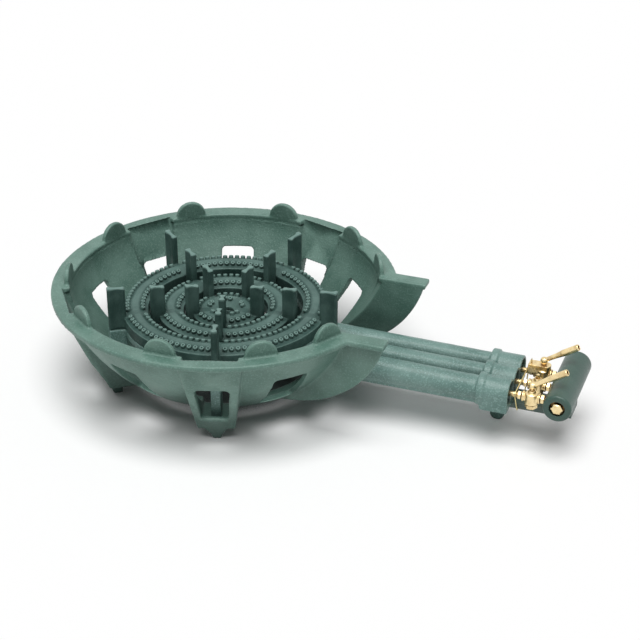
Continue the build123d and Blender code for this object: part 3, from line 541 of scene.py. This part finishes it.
def prong_mesh(end, length, top, angle):
    """Fluted pot rest: a web between two round-cornered ends, its top sloping to the centre."""
    half_width = 0.004
    half_web = 0.0021
    land = 0.003
    corner = 0.0012
    slope = 0.0025
    flute_steps = 8
    half_length = length / 2
    flute = half_width - half_web
    side = [(-half_length, half_width - corner), (-half_length + corner, half_width)]
    for step in range(flute_steps + 1):
        along = -half_length + land + (length - 2 * land) * step / flute_steps
        share = along / (half_length - land)
        side.append((along, half_width - flute * (1 - share * share)))
    side += [(half_length - corner, half_width), (half_length, half_width - corner)]
    outline = side + [(along, -across) for along, across in reversed(side)]
    work = bmesh.new()
    centre = end - half_length
    low = [work.verts.new((centre + along, across, seam_height)) for along, across in outline]
    high = []
    for along, across in outline:
        height = top - slope * (half_length - along) / length
        high.append(work.verts.new((centre + along, across, height)))
    count = len(outline)
    for step in range(count):
        following = (step + 1) % count
        work.faces.new([low[step], low[following], high[following], high[step]])
    work.faces.new(low)
    work.faces.new(high)
    bmesh.ops.recalc_face_normals(work, faces=work.faces)
    turn = Matrix.Rotation(angle, 3, "Z")
    bmesh.ops.rotate(work, verts=work.verts, cent=(0, 0, 0), matrix=turn)
    return mesh_of("prong", work)


def stud_rows_tree():
    """Points round one row, kept clear of the prongs, each with a drilled stud on the slope."""
    tree, wants, gives = new_group(
        "Flame stud row",
        "GeometryNodeTree",
        [
            ("Stud", "NodeSocketObject", None),
            ("Row Radius", "NodeSocketFloat", 0.1),
            ("Row Height", "NodeSocketFloat", 0.1),
            ("Lean", "NodeSocketFloat", 0.0),
            ("Studs In Sector", "NodeSocketInt", 10),
            ("Sector Span", "NodeSocketFloat", 1.0),
            ("Axis X", "NodeSocketFloat", 0.0),
            ("Paint", "NodeSocketMaterial", None),
        ],
        [("Geometry", "NodeSocketGeometry")],
    )
    in_each = wants["Studs In Sector"]
    total = arithmetic(tree, "MULTIPLY", in_each, prong_count)
    points = add(tree, "GeometryNodePoints", {"Count": total})
    index = add(tree, "GeometryNodeInputIndex").outputs[0]
    in_sector = arithmetic(tree, "MODULO", index, in_each)
    sector_number = arithmetic(tree, "FLOOR", arithmetic(tree, "DIVIDE", index, in_each), 0.0)
    share = arithmetic(tree, "DIVIDE", arithmetic(tree, "ADD", in_sector, 0.5), in_each)
    from_centre = arithmetic(tree, "SUBTRACT", share, 0.5)
    offset = arithmetic(tree, "MULTIPLY", from_centre, wants["Sector Span"])
    start = arithmetic(tree, "MULTIPLY", arithmetic(tree, "ADD", sector_number, 0.5), sector)
    angle = arithmetic(tree, "ADD", start, offset)
    cosine = arithmetic(tree, "COSINE", angle, 0.0)
    sine = arithmetic(tree, "SINE", angle, 0.0)
    x = arithmetic(tree, "MULTIPLY", cosine, wants["Row Radius"])
    x = arithmetic(tree, "ADD", x, wants["Axis X"])
    y = arithmetic(tree, "MULTIPLY", sine, wants["Row Radius"])
    spot = add(tree, "ShaderNodeCombineXYZ", {0: x, 1: y, 2: wants["Row Height"]}).outputs[0]
    turn = add(tree, "ShaderNodeCombineXYZ", {1: wants["Lean"], 2: angle}).outputs[0]
    places = {"Geometry": points.outputs[0], "Position": spot}
    placed = add(tree, "GeometryNodeSetPosition", places).outputs[0]
    stud = add(
        tree, "GeometryNodeObjectInfo", {"Object": wants["Stud"]}, transform_space="ORIGINAL"
    ).outputs["Geometry"]
    spread = add(
        tree,
        "GeometryNodeInstanceOnPoints",
        {"Points": placed, "Instance": stud, "Rotation": turn},
    ).outputs[0]
    real = add(tree, "GeometryNodeRealizeInstances", {"Geometry": spread}).outputs[0]
    painted = add(
        tree, "GeometryNodeSetMaterial", {"Geometry": real, "Material": wants["Paint"]}
    ).outputs[0]
    tree.links.new(painted, gives.inputs[0])
    return tree


def set_inputs(modifier, values):
    """Sets a modifier's inputs by the sockets' identifiers."""
    for item in modifier.node_group.interface.items_tree:
        if item.in_out == "INPUT" and item.name in values:
            modifier[item.identifier] = values[item.name]


stud_row = stud_rows_tree()
stud_height = 0.0037
stud_profile = [
    (0.0033, -0.0012),
    (0.0032, 0.0),
    (0.003, 0.0021),
    (0.0026, 0.0033),
    (0.0019, stud_height),
    (0.0012, 0.0034),
    (0.001, 0.0006),
    (0, 0.0006),
]
stud_shape = shown("stud_pattern", turned(stud_profile, sides=12))
stud_shape.data.shade_smooth()
stud_pitch = 0.0075
prong_room = 0.012
row_shift = 0.001
smallest_row = 0.0215


def stud_meshes(outer, ridge_top):
    """Two rows of studs for one ring, one on each slope."""
    tilt = math.atan2(lip_drop, ridge_slope)
    inner = outer - ring_width
    rows = []
    outer_row = outer - ridge_slope / 2 - row_shift
    inner_row = max(inner + ridge_slope / 2 + row_shift, smallest_row)
    for radius, lean in ((outer_row, tilt), (inner_row, -tilt)):
        span = sector - prong_room / radius
        count = max(2, int(span * radius / stud_pitch))
        from_middle = abs(radius - inner - ring_width / 2)
        past_ridge = (from_middle - ridge_width / 2) / ridge_slope
        row = shown("stud_row", bpy.data.meshes.new("stud row"))
        maker = row.modifiers.new("Studs", "NODES")
        maker.node_group = stud_row
        set_inputs(
            maker,
            {
                "Stud": stud_shape,
                "Row Radius": radius,
                "Row Height": ridge_top - lip_drop * past_ridge,
                "Lean": lean,
                "Studs In Sector": count,
                "Sector Span": span,
                "Axis X": bowl_axis,
                "Paint": ring_paint,
            },
        )
        row.update_tag()
        rows.append(plain_mesh(row).data.copy())
        bpy.data.objects.remove(row)
    return rows


def moved(mesh, matrix):
    """The mesh, carried to its place."""
    mesh.transform(matrix)
    return mesh


# Painted highlights: pale paint on the tops of the studs, ridge, lips and prongs, where the
# overhead light falls.
prong_reach = 0.005
prong_least_highlight = 0.09
prong_highlight_depth = 0.0034
prong_highlight_fade = 0.0012
stud_highlight_start = stud_height * 0.72
stud_highlight_fade = stud_height * 0.12
ridge_highlight = 0.3
lip_highlight = 0.9
edge_width = 0.0011
edge_depth = 0.0012


def paint_top_highlights(head, outer, ridge_top, prong_top):
    """Marks the painted highlights: pale paint on stud tops, ridge and lip edges, and prong tops.
    """
    mesh = head.data
    x, y, z = read_points(mesh).T
    reach = np.hypot(x - bowl_axis, y)
    from_middle = np.abs(reach - (outer - ring_width / 2))
    past_ridge = np.clip((from_middle - ridge_width / 2) / ridge_slope, 0, 1)
    above = z - (ridge_top - lip_drop * past_ridge)
    turn = np.arctan2(y, x - bowl_axis)
    from_prong = np.abs(reach * np.sin(turn - sector * np.round(turn / sector)))
    stud_tops = np.clip((above - stud_highlight_start) / stud_highlight_fade, 0, 1) * (above < 2 * stud_height)
    on_ridge = np.clip((ridge_width / 2 + edge_width - from_middle) / edge_width, 0, 1)
    at_lip = np.clip(1 - np.abs(from_middle - ring_width / 2) / edge_width, 0, 1)
    edge_highlight = np.maximum(ridge_highlight * on_ridge, lip_highlight * at_lip) * (np.abs(above) < edge_depth)
    prong_tops = np.clip((z - prong_top + prong_highlight_depth) / prong_highlight_fade, prong_least_highlight, 1)
    painted_highlight = np.where(from_prong < prong_reach, prong_tops, np.maximum(stud_tops, edge_highlight))
    marks = mesh.attributes.new("painted_highlight", "FLOAT", "POINT")
    marks.data.foreach_set("value", painted_highlight.astype(np.float32))


def ring_head(name, node, outer, ridge_top, prong_end, prong_length, prong_top, grid):
    """One head: the ring and its prongs poured together, then the studs and the painted highlights.
    """
    to_bowl = Matrix.Translation((bowl_axis, 0, 0))
    shells = [turned(ring_profile(outer, ridge_top), sides=180, closed=True)]
    for step in range(prong_count):
        shells.append(prong_mesh(prong_end, prong_length, prong_top, sector * step))
    head = poured(name, [moved(shell, to_bowl) for shell in shells], grid, passes=2)
    sand_waves(head, size=0.012, depth=0.0001)
    work = bmesh.new()
    work.from_mesh(head.data)
    for studs in stud_meshes(outer, ridge_top):
        work.from_mesh(studs)
    work.to_mesh(head.data)
    work.free()
    head.data.shade_smooth()
    paint_top_highlights(head, outer, ridge_top, prong_top)
    finish_piece(head, ring_paint, "burner", "ring_green", node)


ring_head(
    "outer_ring_casting",
    "outer_ring_head",
    outer=0.129,
    ridge_top=0.1095,
    prong_end=0.1483,
    prong_length=0.022,
    prong_top=0.148,
    grid=0.00125,
)
ring_head(
    "middle_ring_casting",
    "middle_ring_head",
    outer=0.085,
    ridge_top=0.1045,
    prong_end=0.0952,
    prong_length=0.0182,
    prong_top=0.143,
    grid=0.001,
)
ring_head(
    "inner_ring_casting",
    "inner_ring_head",
    outer=0.042,
    ridge_top=0.1,
    prong_end=0.0512,
    prong_length=0.0172,
    prong_top=0.138,
    grid=0.0009,
)
bpy.data.objects.remove(stud_shape)

# Fasteners. Zinc plated hex bolts, driven from below: nine hold the ring heads on the troughs,
# two hold the bracket to the mouth block and two hold the manifold in its saddle.


def bare_metal_group():
    """Bare metal: bright on free faces, dull in corners, with fine tool marks."""
    tree, wants, gives = new_group(
        "Bare metal",
        "ShaderNodeTree",
        [
            ("Bright", "NodeSocketColor", (0.8, 0.6, 0.3, 1)),
            ("Dull", "NodeSocketColor", (0.4, 0.25, 0.1, 1)),
            ("Dull Share", "NodeSocketFloat", 0.5),
            ("Mark Scale", "NodeSocketFloat", 900.0),
            ("Roughness", "NodeSocketFloat", 0.3),
        ],
        skin_results,
    )
    cloud_scale = 130.0
    cloud_range = (0.4, 0.75)
    most_cloud = 0.7
    corner_reach = 0.006
    corner_range = (0.3, 0.9)
    most_corner = 1.6
    swing_range = (0.3, 0.7)
    roughness_swing = (-0.06, 0.08)
    stain_roughness = 0.15
    clouds = mottle(tree, cloud_scale, detail=4.0)
    marks = mottle(tree, wants["Mark Scale"], detail=2.0)
    cloud_share = between(tree, clouds, *cloud_range, 0.0, most_cloud)
    open_share = openness(tree, corner_reach)
    corners = between(tree, open_share, *corner_range, most_corner, 0.0)
    # Darker and duller in corners and in random clouds over the metal.
    dulling = arithmetic(tree, "ADD", cloud_share, corners)
    dulling = arithmetic(tree, "MULTIPLY", dulling, wants["Dull Share"])
    dulling = arithmetic(tree, "MINIMUM", dulling, 1.0)
    colour = mixed(tree, dulling, wants["Bright"], wants["Dull"])
    mark_roughness = between(tree, marks, *swing_range, *roughness_swing)
    roughness = arithmetic(tree, "ADD", mark_roughness, wants["Roughness"])
    dullness = arithmetic(tree, "MULTIPLY", dulling, stain_roughness)
    roughness = arithmetic(tree, "ADD", roughness, dullness)
    for label, result in (("Color", colour), ("Roughness", roughness), ("Height", marks)):
        tree.links.new(result, gives.inputs[label])
    return tree


bare_metal = bare_metal_group()


def metal(name, bright, dull, dull_share, mark_scale, roughness, relief):
    """Turned, drawn or plated metal."""
    values = {
        "Bright": (*bright, 1),
        "Dull": (*dull, 1),
        "Dull Share": dull_share,
        "Mark Scale": mark_scale,
        "Roughness": roughness,
    }
    material, shader = skinned(name, bare_metal, values, bump_strength=0.4, relief=relief)
    shader.inputs["Metallic"].default_value = 1.0
    return material


zinc_plate = metal(
    "Zinc plate",
    bright=(0.62, 0.63, 0.62),
    dull=(0.3, 0.3, 0.29),
    dull_share=0.7,
    mark_scale=1100.0,
    roughness=0.38,
    relief=0.0001,
)


def bolt_profile(flats, head, shank, length):
    """Hex bolt that points up from its seat, with a chamfered head below it."""
    end_face = flats * 0.42
    chamfer_foot = head * 0.82
    washer = flats * 0.46
    washer_face = 0.0003
    tip = shank * 0.75
    tip_length = 0.0006
    return [
        (0, -head),
        (end_face, -head),
        (flats * 0.5, -chamfer_foot, 6),
        (flats * 0.5, -washer_face, 6),
        (washer, 0),
        (shank, 0),
        (shank, length - tip_length),
        (tip, length),
        (0, length),
    ]


def seat_tree():
    """One bolt on every seat point."""
    tree, wants, gives = new_group(
        "Bolts on seats",
        "GeometryNodeTree",
        [
            ("Seats", "NodeSocketGeometry", None),
            ("Bolt", "NodeSocketObject", None),
            ("Plate", "NodeSocketMaterial", None),
        ],
        [("Geometry", "NodeSocketGeometry")],
    )
    bolt = add(
        tree, "GeometryNodeObjectInfo", {"Object": wants["Bolt"]}, transform_space="ORIGINAL"
    ).outputs["Geometry"]
    spread = add(
        tree, "GeometryNodeInstanceOnPoints", {"Points": wants["Seats"], "Instance": bolt}
    ).outputs[0]
    real = add(tree, "GeometryNodeRealizeInstances", {"Geometry": spread}).outputs[0]
    plated = add(
        tree, "GeometryNodeSetMaterial", {"Geometry": real, "Material": wants["Plate"]}
    ).outputs[0]
    tree.links.new(plated, gives.inputs[0])
    return tree


bolts_on_seats = seat_tree()


def creased(mesh, degrees=32):
    """Smooth shading that stops at the edges of a machined piece."""
    mesh.shade_smooth()
    mesh.set_sharp_from_angle(angle=math.radians(degrees))
    return mesh


def bolts(name, node, seats, profile):
    """One piece with a like bolt on each of its seats."""
    pattern = shown("bolt_pattern", turned(profile, sides=36))
    seat_mesh = bpy.data.meshes.new(name)
    seat_mesh.from_pydata(seats, [], [])
    piece = shown(name, seat_mesh)
    maker = piece.modifiers.new("Bolts", "NODES")
    maker.node_group = bolts_on_seats
    set_inputs(maker, {"Bolt": pattern, "Plate": zinc_plate})
    piece.update_tag()
    creased(plain_mesh(piece).data)
    bpy.data.objects.remove(pattern)
    finish_piece(piece, zinc_plate, "burner", "bolt_steel", node)


trough_bottom = 0.081
ring_seats = []
for ring_middle in (0.113, 0.069, 0.026):
    for bolt_turn in (108, 180, 252):
        angle = math.radians(bolt_turn)
        seat_x = bowl_axis + ring_middle * math.cos(angle)
        ring_seats.append((seat_x, ring_middle * math.sin(angle), trough_bottom))
ring_bolt = bolt_profile(flats=0.01, head=0.004, shank=0.00297, length=0.0145)
bolts("ring_bolts", "ring_head_bolts", ring_seats, ring_bolt)

bracket_bottom = 0.042
bracket_bolt_x = bowl_axis + 0.3705
bracket_bolt_y = 0.009
bracket_seats = [(bracket_bolt_x, side * bracket_bolt_y, bracket_bottom) for side in (-1, 1)]
bracket_bolt = bolt_profile(flats=0.01, head=0.004, shank=0.00297, length=0.0135)
bolts("bracket_hex_bolts", "bracket_bolts", bracket_seats, bracket_bolt)

manifold_x = bowl_axis + 0.4365
saddle_screw_y = 0.011
saddle_seats = [(manifold_x, side * saddle_screw_y, bracket_bottom) for side in (-1, 1)]
saddle_screw = bolt_profile(flats=0.008, head=0.0035, shank=0.00247, length=0.0167)
bolts("manifold_hex_screws", "manifold_screws", saddle_seats, saddle_screw)

# Manifold and its bracket. A short cast gas pipe lies in the saddle of a flat cast arm that is
# bolted under the mouth block. Both are painted dark green, the pipe smoother than the arm.
manifold_paint = painted_iron(
    "Dark green paint on the manifold",
    paint=(0.031, 0.078, 0.06),
    pale=(0.075, 0.14, 0.115),
    grain_scale=520.0,
    grain_share=0.3,
    edge_highlight_share=0.5,
    hollow_shade_reach=0.02,
    roughness=0.36,
    relief=0.0002,
)
bracket_paint = painted_iron(
    "Dark green paint on the bracket",
    paint=(0.05, 0.088, 0.076),
    pale=(0.11, 0.16, 0.14),
    grain_scale=520.0,
    grain_share=0.3,
    edge_highlight_share=0.5,
    hollow_shade_reach=0.02,
    roughness=0.44,
    relief=0.0004,
)
manifold = poured("manifold_pipe", [solid("manifold")], grid=0.0009, passes=2)
sand_waves(manifold, size=0.016, depth=0.00012)
finish_piece(manifold, manifold_paint, "burner", "manifold_dark", "manifold")
bracket = poured("manifold_arm", [solid("manifold_bracket")], grid=0.0009, passes=2)
sand_waves(bracket, size=0.014, depth=0.00015)
finish_piece(bracket, bracket_paint, "burner", "bracket_green", "manifold_bracket")

# Brass fittings. Three plug cocks between the manifold and the tube mouths, each with a jet, an
# inlet nipple and a spring cap; all are turned from brass bar and screwed together.
brass = metal(
    "Turned brass",
    bright=(0.9, 0.73, 0.41),
    dull=(0.33, 0.17, 0.045),
    dull_share=0.6,
    mark_scale=1500.0,
    roughness=0.28,
    relief=0.00006,
)
cock_x = bowl_axis + 0.402


def along_x(x, y):
    """Place of a fitting that is turned about the gas line of one valve."""
    return Matrix.Translation((x, y, gas_height)) @ Matrix.Rotation(math.pi / 2, 4, "Y")


def upright(y, height=0.0):
    """Place of a fitting that is turned about the stem of one valve."""
    return Matrix.Translation((cock_x, y, height))


def fitting(name, node, profile, place, body="burner", sides=48):
    """One turned brass piece."""
    piece = shown(name, creased(moved(turned(profile, sides), place)))
    finish_piece(piece, brass, body, "brass", node)
    return piece


def threaded(radius, start, end, depth=0.0003, pitch=0.0007):
    """Crests and roots of a thread, as rings."""
    turns = int((end - start) / pitch)
    points = []
    for turn in range(turns):
        foot = start + (end - start) * turn / turns
        points += [(radius - depth, foot), (radius, foot + pitch * 0.5)]
    return points + [(radius - depth, end)]


jet_shank = 0.00347
jet_length = 0.027
jet_hole = 0.00075
jet_hole_depth = 0.004
jet_profile = [(0, jet_hole_depth), (jet_hole, jet_hole_depth), (jet_hole, 0), (0.0018, 0)]
jet_profile += [(0.0033, 0.0028), (jet_shank, 0.0034), (jet_shank, 0.011), (0.003, 0.0114)]
jet_profile += [(0.003, 0.0122), (jet_shank, 0.0126), (jet_shank, 0.0172), (0.0036, 0.0176)]
jet_profile += [(0.0044, 0.018, 6), (0.0044, 0.0214, 6), (0.0036, 0.0218)]
jet_profile += threaded(jet_shank, 0.0219, jet_length) + [(0, jet_length)]
nipple_shank = 0.00397
nipple_length = 0.01575
nipple_profile = [(0, 0), (0.0037, 0)] + threaded(nipple_shank, 0.0003, 0.0046)
nipple_profile += [(0.0044, 0.0048), (0.005, 0.0052, 6), (0.005, 0.0088, 6), (0.0044, 0.0092)]
nipple_profile += threaded(nipple_shank, 0.0094, 0.0155)
nipple_profile += [(0.0024, nipple_length), (0, nipple_length)]
cap_profile = [(0, 0.0556), (0.0012, 0.0556), (0.0014, 0.0552), (0.0052, 0.0552)]
cap_profile += [(0.0058, 0.0555), (0.0065, 0.0563, 6), (0.0065, 0.0604, 6), (0.0058, 0.0609)]
cap_profile += [(0.0058, 0.061), (0.00615, 0.0611), (0.00615, 0.064), (0.0043, 0.064)]
cap_profile += [(0.0043, 0.057), (0, 0.057)]
gland = [(0.00285, 0.0745), (0.0048, 0.0745), (0.0048, 0.0775), (0.0043, 0.0781)]
gland += [(0.0043, 0.0792), (0.00285, 0.0792)]
collar = [(0.0036, 0.0), (0.0062, 0.0), (0.0065, 0.0003), (0.0065, 0.0015)]
collar += [(0.0062, 0.0018), (0.0036, 0.0018)]
jet_x = cock_x - 0.034
nipple_x = cock_x + 0.0065
collar_places = (cock_x - 0.0111, cock_x + 0.0088)
for valve, valve_y in (("near", -tube_pitch), ("middle", 0.0), ("far", tube_pitch)):
    jet_place = along_x(jet_x, valve_y)
    fitting(f"{valve}_jet_turned", f"{valve}_jet", jet_profile, jet_place)
    nipple_place = along_x(nipple_x, valve_y)
    fitting(f"{valve}_nipple_turned", f"{valve}_inlet_nipple", nipple_profile, nipple_place)
    fitting(f"{valve}_cap_turned", f"{valve}_cock_cap", cap_profile, upright(valve_y))
    shells = [solid(f"{valve}_cock_body")]
    shells.append(moved(turned(gland, sides=40, closed=True), upright(valve_y)))
    for collar_x in collar_places:
        shells.append(moved(turned(collar, sides=40, closed=True), along_x(collar_x, valve_y)))
    cock = poured(f"{valve}_cock_casting", shells, grid=0.0004, passes=1)
    finish_piece(cock, brass, "burner", "brass", f"{valve}_cock_body")

# Plugs and levers. The tapered plug of each cock turns on its stem. The near and far stems carry
# a pinned brass lever with a hollow round grip, and the middle one ends in a bare square.
lever_steel = metal(
    "Drawn steel",
    bright=(0.55, 0.55, 0.54),
    dull=(0.25, 0.24, 0.22),
    dull_share=0.6,
    mark_scale=1400.0,
    roughness=0.32,
    relief=0.00005,
)
lever_rise = math.radians(33)
neck = 0.024
grip_end = neck + 0.024
grip_hollow = grip_end - 0.006
stem_above_hub = 0.0038


def plug_profile(top):
    """Tapered plug with a round stem."""
    return [
        (0, 0.06405),
        (0.00495, 0.06405),
        (0.00435, 0.07435),
        (0.0027, 0.0744),
        (0.0027, top - 0.0005),
        (0.0022, top),
        (0, top),
    ]


def steel_solid(node):
    """Steel on a solid that is shown as it is."""
    solid(node).materials.clear()
    solid(node).materials.append(lever_steel)


hub_profile = [(0, -0.0036), (0.003, -0.0036), (0.0038, -0.0029), (0.0044, -0.0016), (0.0047, 0)]
hub_profile += [(0.0044, 0.0016), (0.0038, 0.0029), (0.003, 0.0036), (0, 0.0036)]
handle_profile = [(0, 0), (0.0027, 0), (0.0028, neck * 0.4), (0.0032, neck * 0.75)]
handle_profile += [(0.0037, neck), (0.0041, neck + 0.002), (0.0041, grip_end - 0.0012)]
handle_profile += [(0.0036, grip_end), (0.0027, grip_end), (0.0026, grip_hollow), (0, grip_hollow)]
for valve, valve_y, hub_height in (("near", -tube_pitch, 0.0855), ("far", tube_pitch, 0.0875)):
    body = f"{valve}_lever"
    plug = plug_profile(hub_height + stem_above_hub)
    fitting(f"{valve}_plug_turned", f"{valve}_cock_plug", plug, upright(valve_y), body)
    hub_place = upright(valve_y, hub_height)
    handle_place = hub_place @ Matrix.Rotation(math.pi / 2 - lever_rise, 4, "Y")
    shells = [moved(turned(hub_profile, sides=48), hub_place)]
    shells.append(moved(turned(handle_profile, sides=48), handle_place))
    lever = poured(f"{valve}_lever_brass", shells, grid=0.0004, passes=1)
    finish_piece(lever, brass, body, "brass", f"{valve}_lever")
    steel_solid(f"{valve}_lever_pin")
round_stem = 0.0788
square_top = 0.0845
spindle_profile = plug_profile(round_stem)[:-2]
spindle_profile += [(0.0018, round_stem, 4), (0.0018, 0.084, 4), (0.0014, square_top, 4)]
spindle_profile += [(0, square_top)]
fitting("middle_plug_turned", "middle_cock_plug", spindle_profile, upright(0.0), "middle_spindle")
for valve in ("near", "middle", "far"):
    steel_solid(f"{valve}_cock_spring")

# Small brass. A pointed bleed screw stands on the far cock's block, and a hex plug closes the
# near end of the manifold. Both are turned from bar and screwed in.
bleed_place = Matrix.Translation((bowl_axis + 0.387, tube_pitch, 0))
bleed_profile = [(0, 0.077), (0.001, 0.077)]
bleed_profile += threaded(0.001, 0.0771, 0.0842, depth=0.0001, pitch=0.0005)
bleed_profile += [(0.0009, 0.0846), (0.0003, 0.0879), (0, 0.088)]
fitting("bleed_screw_turned", "far_bleed_screw", bleed_profile, bleed_place, sides=24)
manifold_height = 0.072
to_near_side = Matrix.Rotation(math.pi / 2, 4, "X")
plug_place = Matrix.Translation((manifold_x, 0, manifold_height)) @ to_near_side
end_plug_profile = [(0, 0.038), (0.0088, 0.038)]
end_plug_profile += threaded(0.00925, 0.0384, 0.0412, depth=0.0004, pitch=0.0014)
end_plug_profile += [(0.0052, 0.0415), (0.0052, 0.0455), (0.00625, 0.046, 6)]
end_plug_profile += [(0.00625, 0.0501, 6), (0.0055, 0.051), (0, 0.051)]
fitting("manifold_plug_turned", "manifold_plug", end_plug_profile, plug_place)

# Tie wire. One loop of soft drawn brass wire, pulled taut round the three jets and the bracket
# arm, so that the cocks stay in line.
wire_brass = metal(
    "Drawn brass wire",
    bright=(0.84, 0.72, 0.36),
    dull=(0.5, 0.36, 0.12),
    dull_share=0.4,
    mark_scale=1500.0,
    roughness=0.3,
    relief=0.00004,
)
wire_radius = 0.0008
wire_gap = 0.0003
mouth_face = bowl_axis + 0.377
wire_x = mouth_face + 0.006
jet_loop = 0.0035 + wire_gap + wire_radius
arm_loop = wire_gap + wire_radius
arm_half = 0.017


def wire_tree():
    """Round wire along a path of edges."""
    tree, wants, gives = new_group(
        "Wire along a path",
        "GeometryNodeTree",
        [
            ("Path", "NodeSocketGeometry", None),
            ("Wire Radius", "NodeSocketFloat", 0.0008),
            ("Metal", "NodeSocketMaterial", None),
        ],
        [("Geometry", "NodeSocketGeometry")],
    )
    path = add(tree, "GeometryNodeMeshToCurve", {"Mesh": wants["Path"]}).outputs[0]
    section = {"Resolution": 12, "Radius": wants["Wire Radius"]}
    ring = add(tree, "GeometryNodeCurvePrimitiveCircle", section).outputs[0]
    sweep = {"Curve": path, "Profile Curve": ring, "Fill Caps": True}
    swept = add(tree, "GeometryNodeCurveToMesh", sweep).outputs[0]
    real = add(tree, "GeometryNodeRealizeInstances", {"Geometry": swept}).outputs[0]
    coated = add(
        tree, "GeometryNodeSetMaterial", {"Geometry": real, "Material": wants["Metal"]}
    ).outputs[0]
    tree.links.new(coated, gives.inputs[0])
    return tree


def bend(across, height, radius, start, end, steps):
    """Points round one bend of the wire, seen along the gas line."""
    points = []
    for step in range(steps + 1):
        angle = start + (end - start) * step / steps
        points.append((across + radius * math.cos(angle), height + radius * math.sin(angle)))
    return points


drop = gas_height - bracket_bottom
inward = tube_pitch - arm_half
wire_lean = math.atan2(drop, inward)
wire_lean -= math.acos((jet_loop - arm_loop) / math.hypot(drop, inward))
half_path = bend(tube_pitch, gas_height, jet_loop, math.pi / 2, wire_lean, steps=12)
half_path += bend(arm_half, bracket_bottom, arm_loop, wire_lean, -math.pi / 2, steps=8)
loop = half_path + [(-across, height) for across, height in reversed(half_path)]
wire_points = [(wire_x, across, height) for across, height in loop]
wire_steps = [(step, (step + 1) % len(loop)) for step in range(len(loop))]
wire_mesh = bpy.data.meshes.new("tie_wire_loop")
wire_mesh.from_pydata(wire_points, wire_steps, [])
wire = shown("tie_wire_loop", wire_mesh)
wire_maker = wire.modifiers.new("Wire", "NODES")
wire_maker.node_group = wire_tree()
set_inputs(wire_maker, {"Wire Radius": wire_radius, "Metal": wire_brass})
wire.update_tag()
plain_mesh(wire)
finish_piece(wire, wire_brass, "burner", "wire_brass", "tie_wire")

# Studio. A pale floor with painted shade and shadow under the bowl, soft light from above and in
# front, and the camera at the angle from which the burner is usually shown.
floor_half = 8.0
floor_white = (0.88, 0.88, 0.88, 1)
painted_floor_shadow = (0.1, 0.11, 0.11, 1)
floor_shadow_reach = 0.3
shut_in_range = (0.2, 0.5)
under_rings_range = (0.08, 0.12)
outside_range = (0.15, 0.24)
floor_glow = 0.12
world_light = 0.16


def seen_rays(tree):
    """1 for rays that show the background: straight, mirrored or through glass."""
    rays = add(tree, "ShaderNodeLightPath").outputs
    seen = arithmetic(tree, "MAXIMUM", rays["Is Camera Ray"], rays["Is Glossy Ray"])
    return arithmetic(tree, "MAXIMUM", seen, rays["Is Transmission Ray"])


floor_mesh = bpy.data.meshes.new("Floor")
corners = [(-1, -1), (1, -1), (1, 1), (-1, 1)]
floor_corners = [(x * floor_half, y * floor_half, 0) for x, y in corners]
floor_mesh.from_pydata(floor_corners, [], [(0, 1, 2, 3)])
floor = shown("floor", floor_mesh)
floor_paint = bpy.data.materials.new("Pale floor")
floor_paint.use_nodes = True
tree = floor_paint.node_tree
shader = tree.nodes["Principled BSDF"]
spot = add(tree, "ShaderNodeTexCoord").outputs["Object"]
from_axis = add(
    tree, "ShaderNodeVectorMath", {0: spot, 1: (bowl_axis, 0, 0)}, operation="DISTANCE"
).outputs["Value"]
# Painted shadow: the floor is darkened under the rings, where the casting closes over it.
open_share = openness(tree, floor_shadow_reach, samples=16)
shut_in = between(tree, open_share, *shut_in_range, 1.0, 0.0)
under_rings = between(tree, from_axis, *under_rings_range, 1.0, 0.0)
painted_shadow_share = arithmetic(tree, "MULTIPLY", shut_in, under_rings)
floor_colour = mixed(tree, painted_shadow_share, floor_white, painted_floor_shadow)
tree.links.new(floor_colour, shader.inputs["Base Color"])
shader.inputs["Roughness"].default_value = 0.9
shader.inputs["Specular IOR Level"].default_value = 0.0
shader.inputs["Emission Color"].default_value = (1, 1, 1, 1)
# Painted shade: the glow that whitens the floor fades out under the bowl, so the floor there stays
# dark.
outside_bowl = between(tree, from_axis, *outside_range, 0.0, floor_glow)
glow = arithmetic(tree, "MULTIPLY", seen_rays(tree), outside_bowl)
tree.links.new(glow, shader.inputs["Emission Strength"])
floor_mesh.materials.append(floor_paint)

world = bpy.data.worlds.new("Studio")
bpy.context.scene.world = world
world.use_nodes = True
tree = world.node_tree
background = tree.nodes["Background"]
background.inputs["Color"].default_value = (1, 1, 1, 1)
strength = between(tree, seen_rays(tree), 0.0, 1.0, world_light, 1.0)
tree.links.new(strength, background.inputs["Strength"])

sky = bpy.data.lights.new("Overhead soft light", "SUN")
sky.energy = 2.75
sky.angle = math.radians(46)
sky_light = bpy.data.objects.new("Overhead soft light", sky)
sky_light.rotation_euler = Euler((math.radians(16), math.radians(4), 0))
bpy.context.scene.collection.objects.link(sky_light)

view = bpy.data.cameras.new("Camera")
view.lens = 91.68
view.sensor_width = 36.0
view.clip_end = 60
camera = bpy.data.objects.new("Camera", view)
to_right = Vector((0.93813, 0.34628, 0.0))
to_top = Vector((-0.16772, 0.45438, 0.87488))
to_back = Vector((0.30295, -0.82075, 0.48435))
camera_place = Matrix.Translation((0.6147, -1.6474, 1.0774))
camera_turn = Matrix((to_right, to_top, to_back)).transposed().to_4x4()
camera.matrix_world = camera_place @ camera_turn
bpy.context.scene.collection.objects.link(camera)
bpy.context.scene.camera = camera
bpy.context.scene.view_settings.view_transform = "Standard"
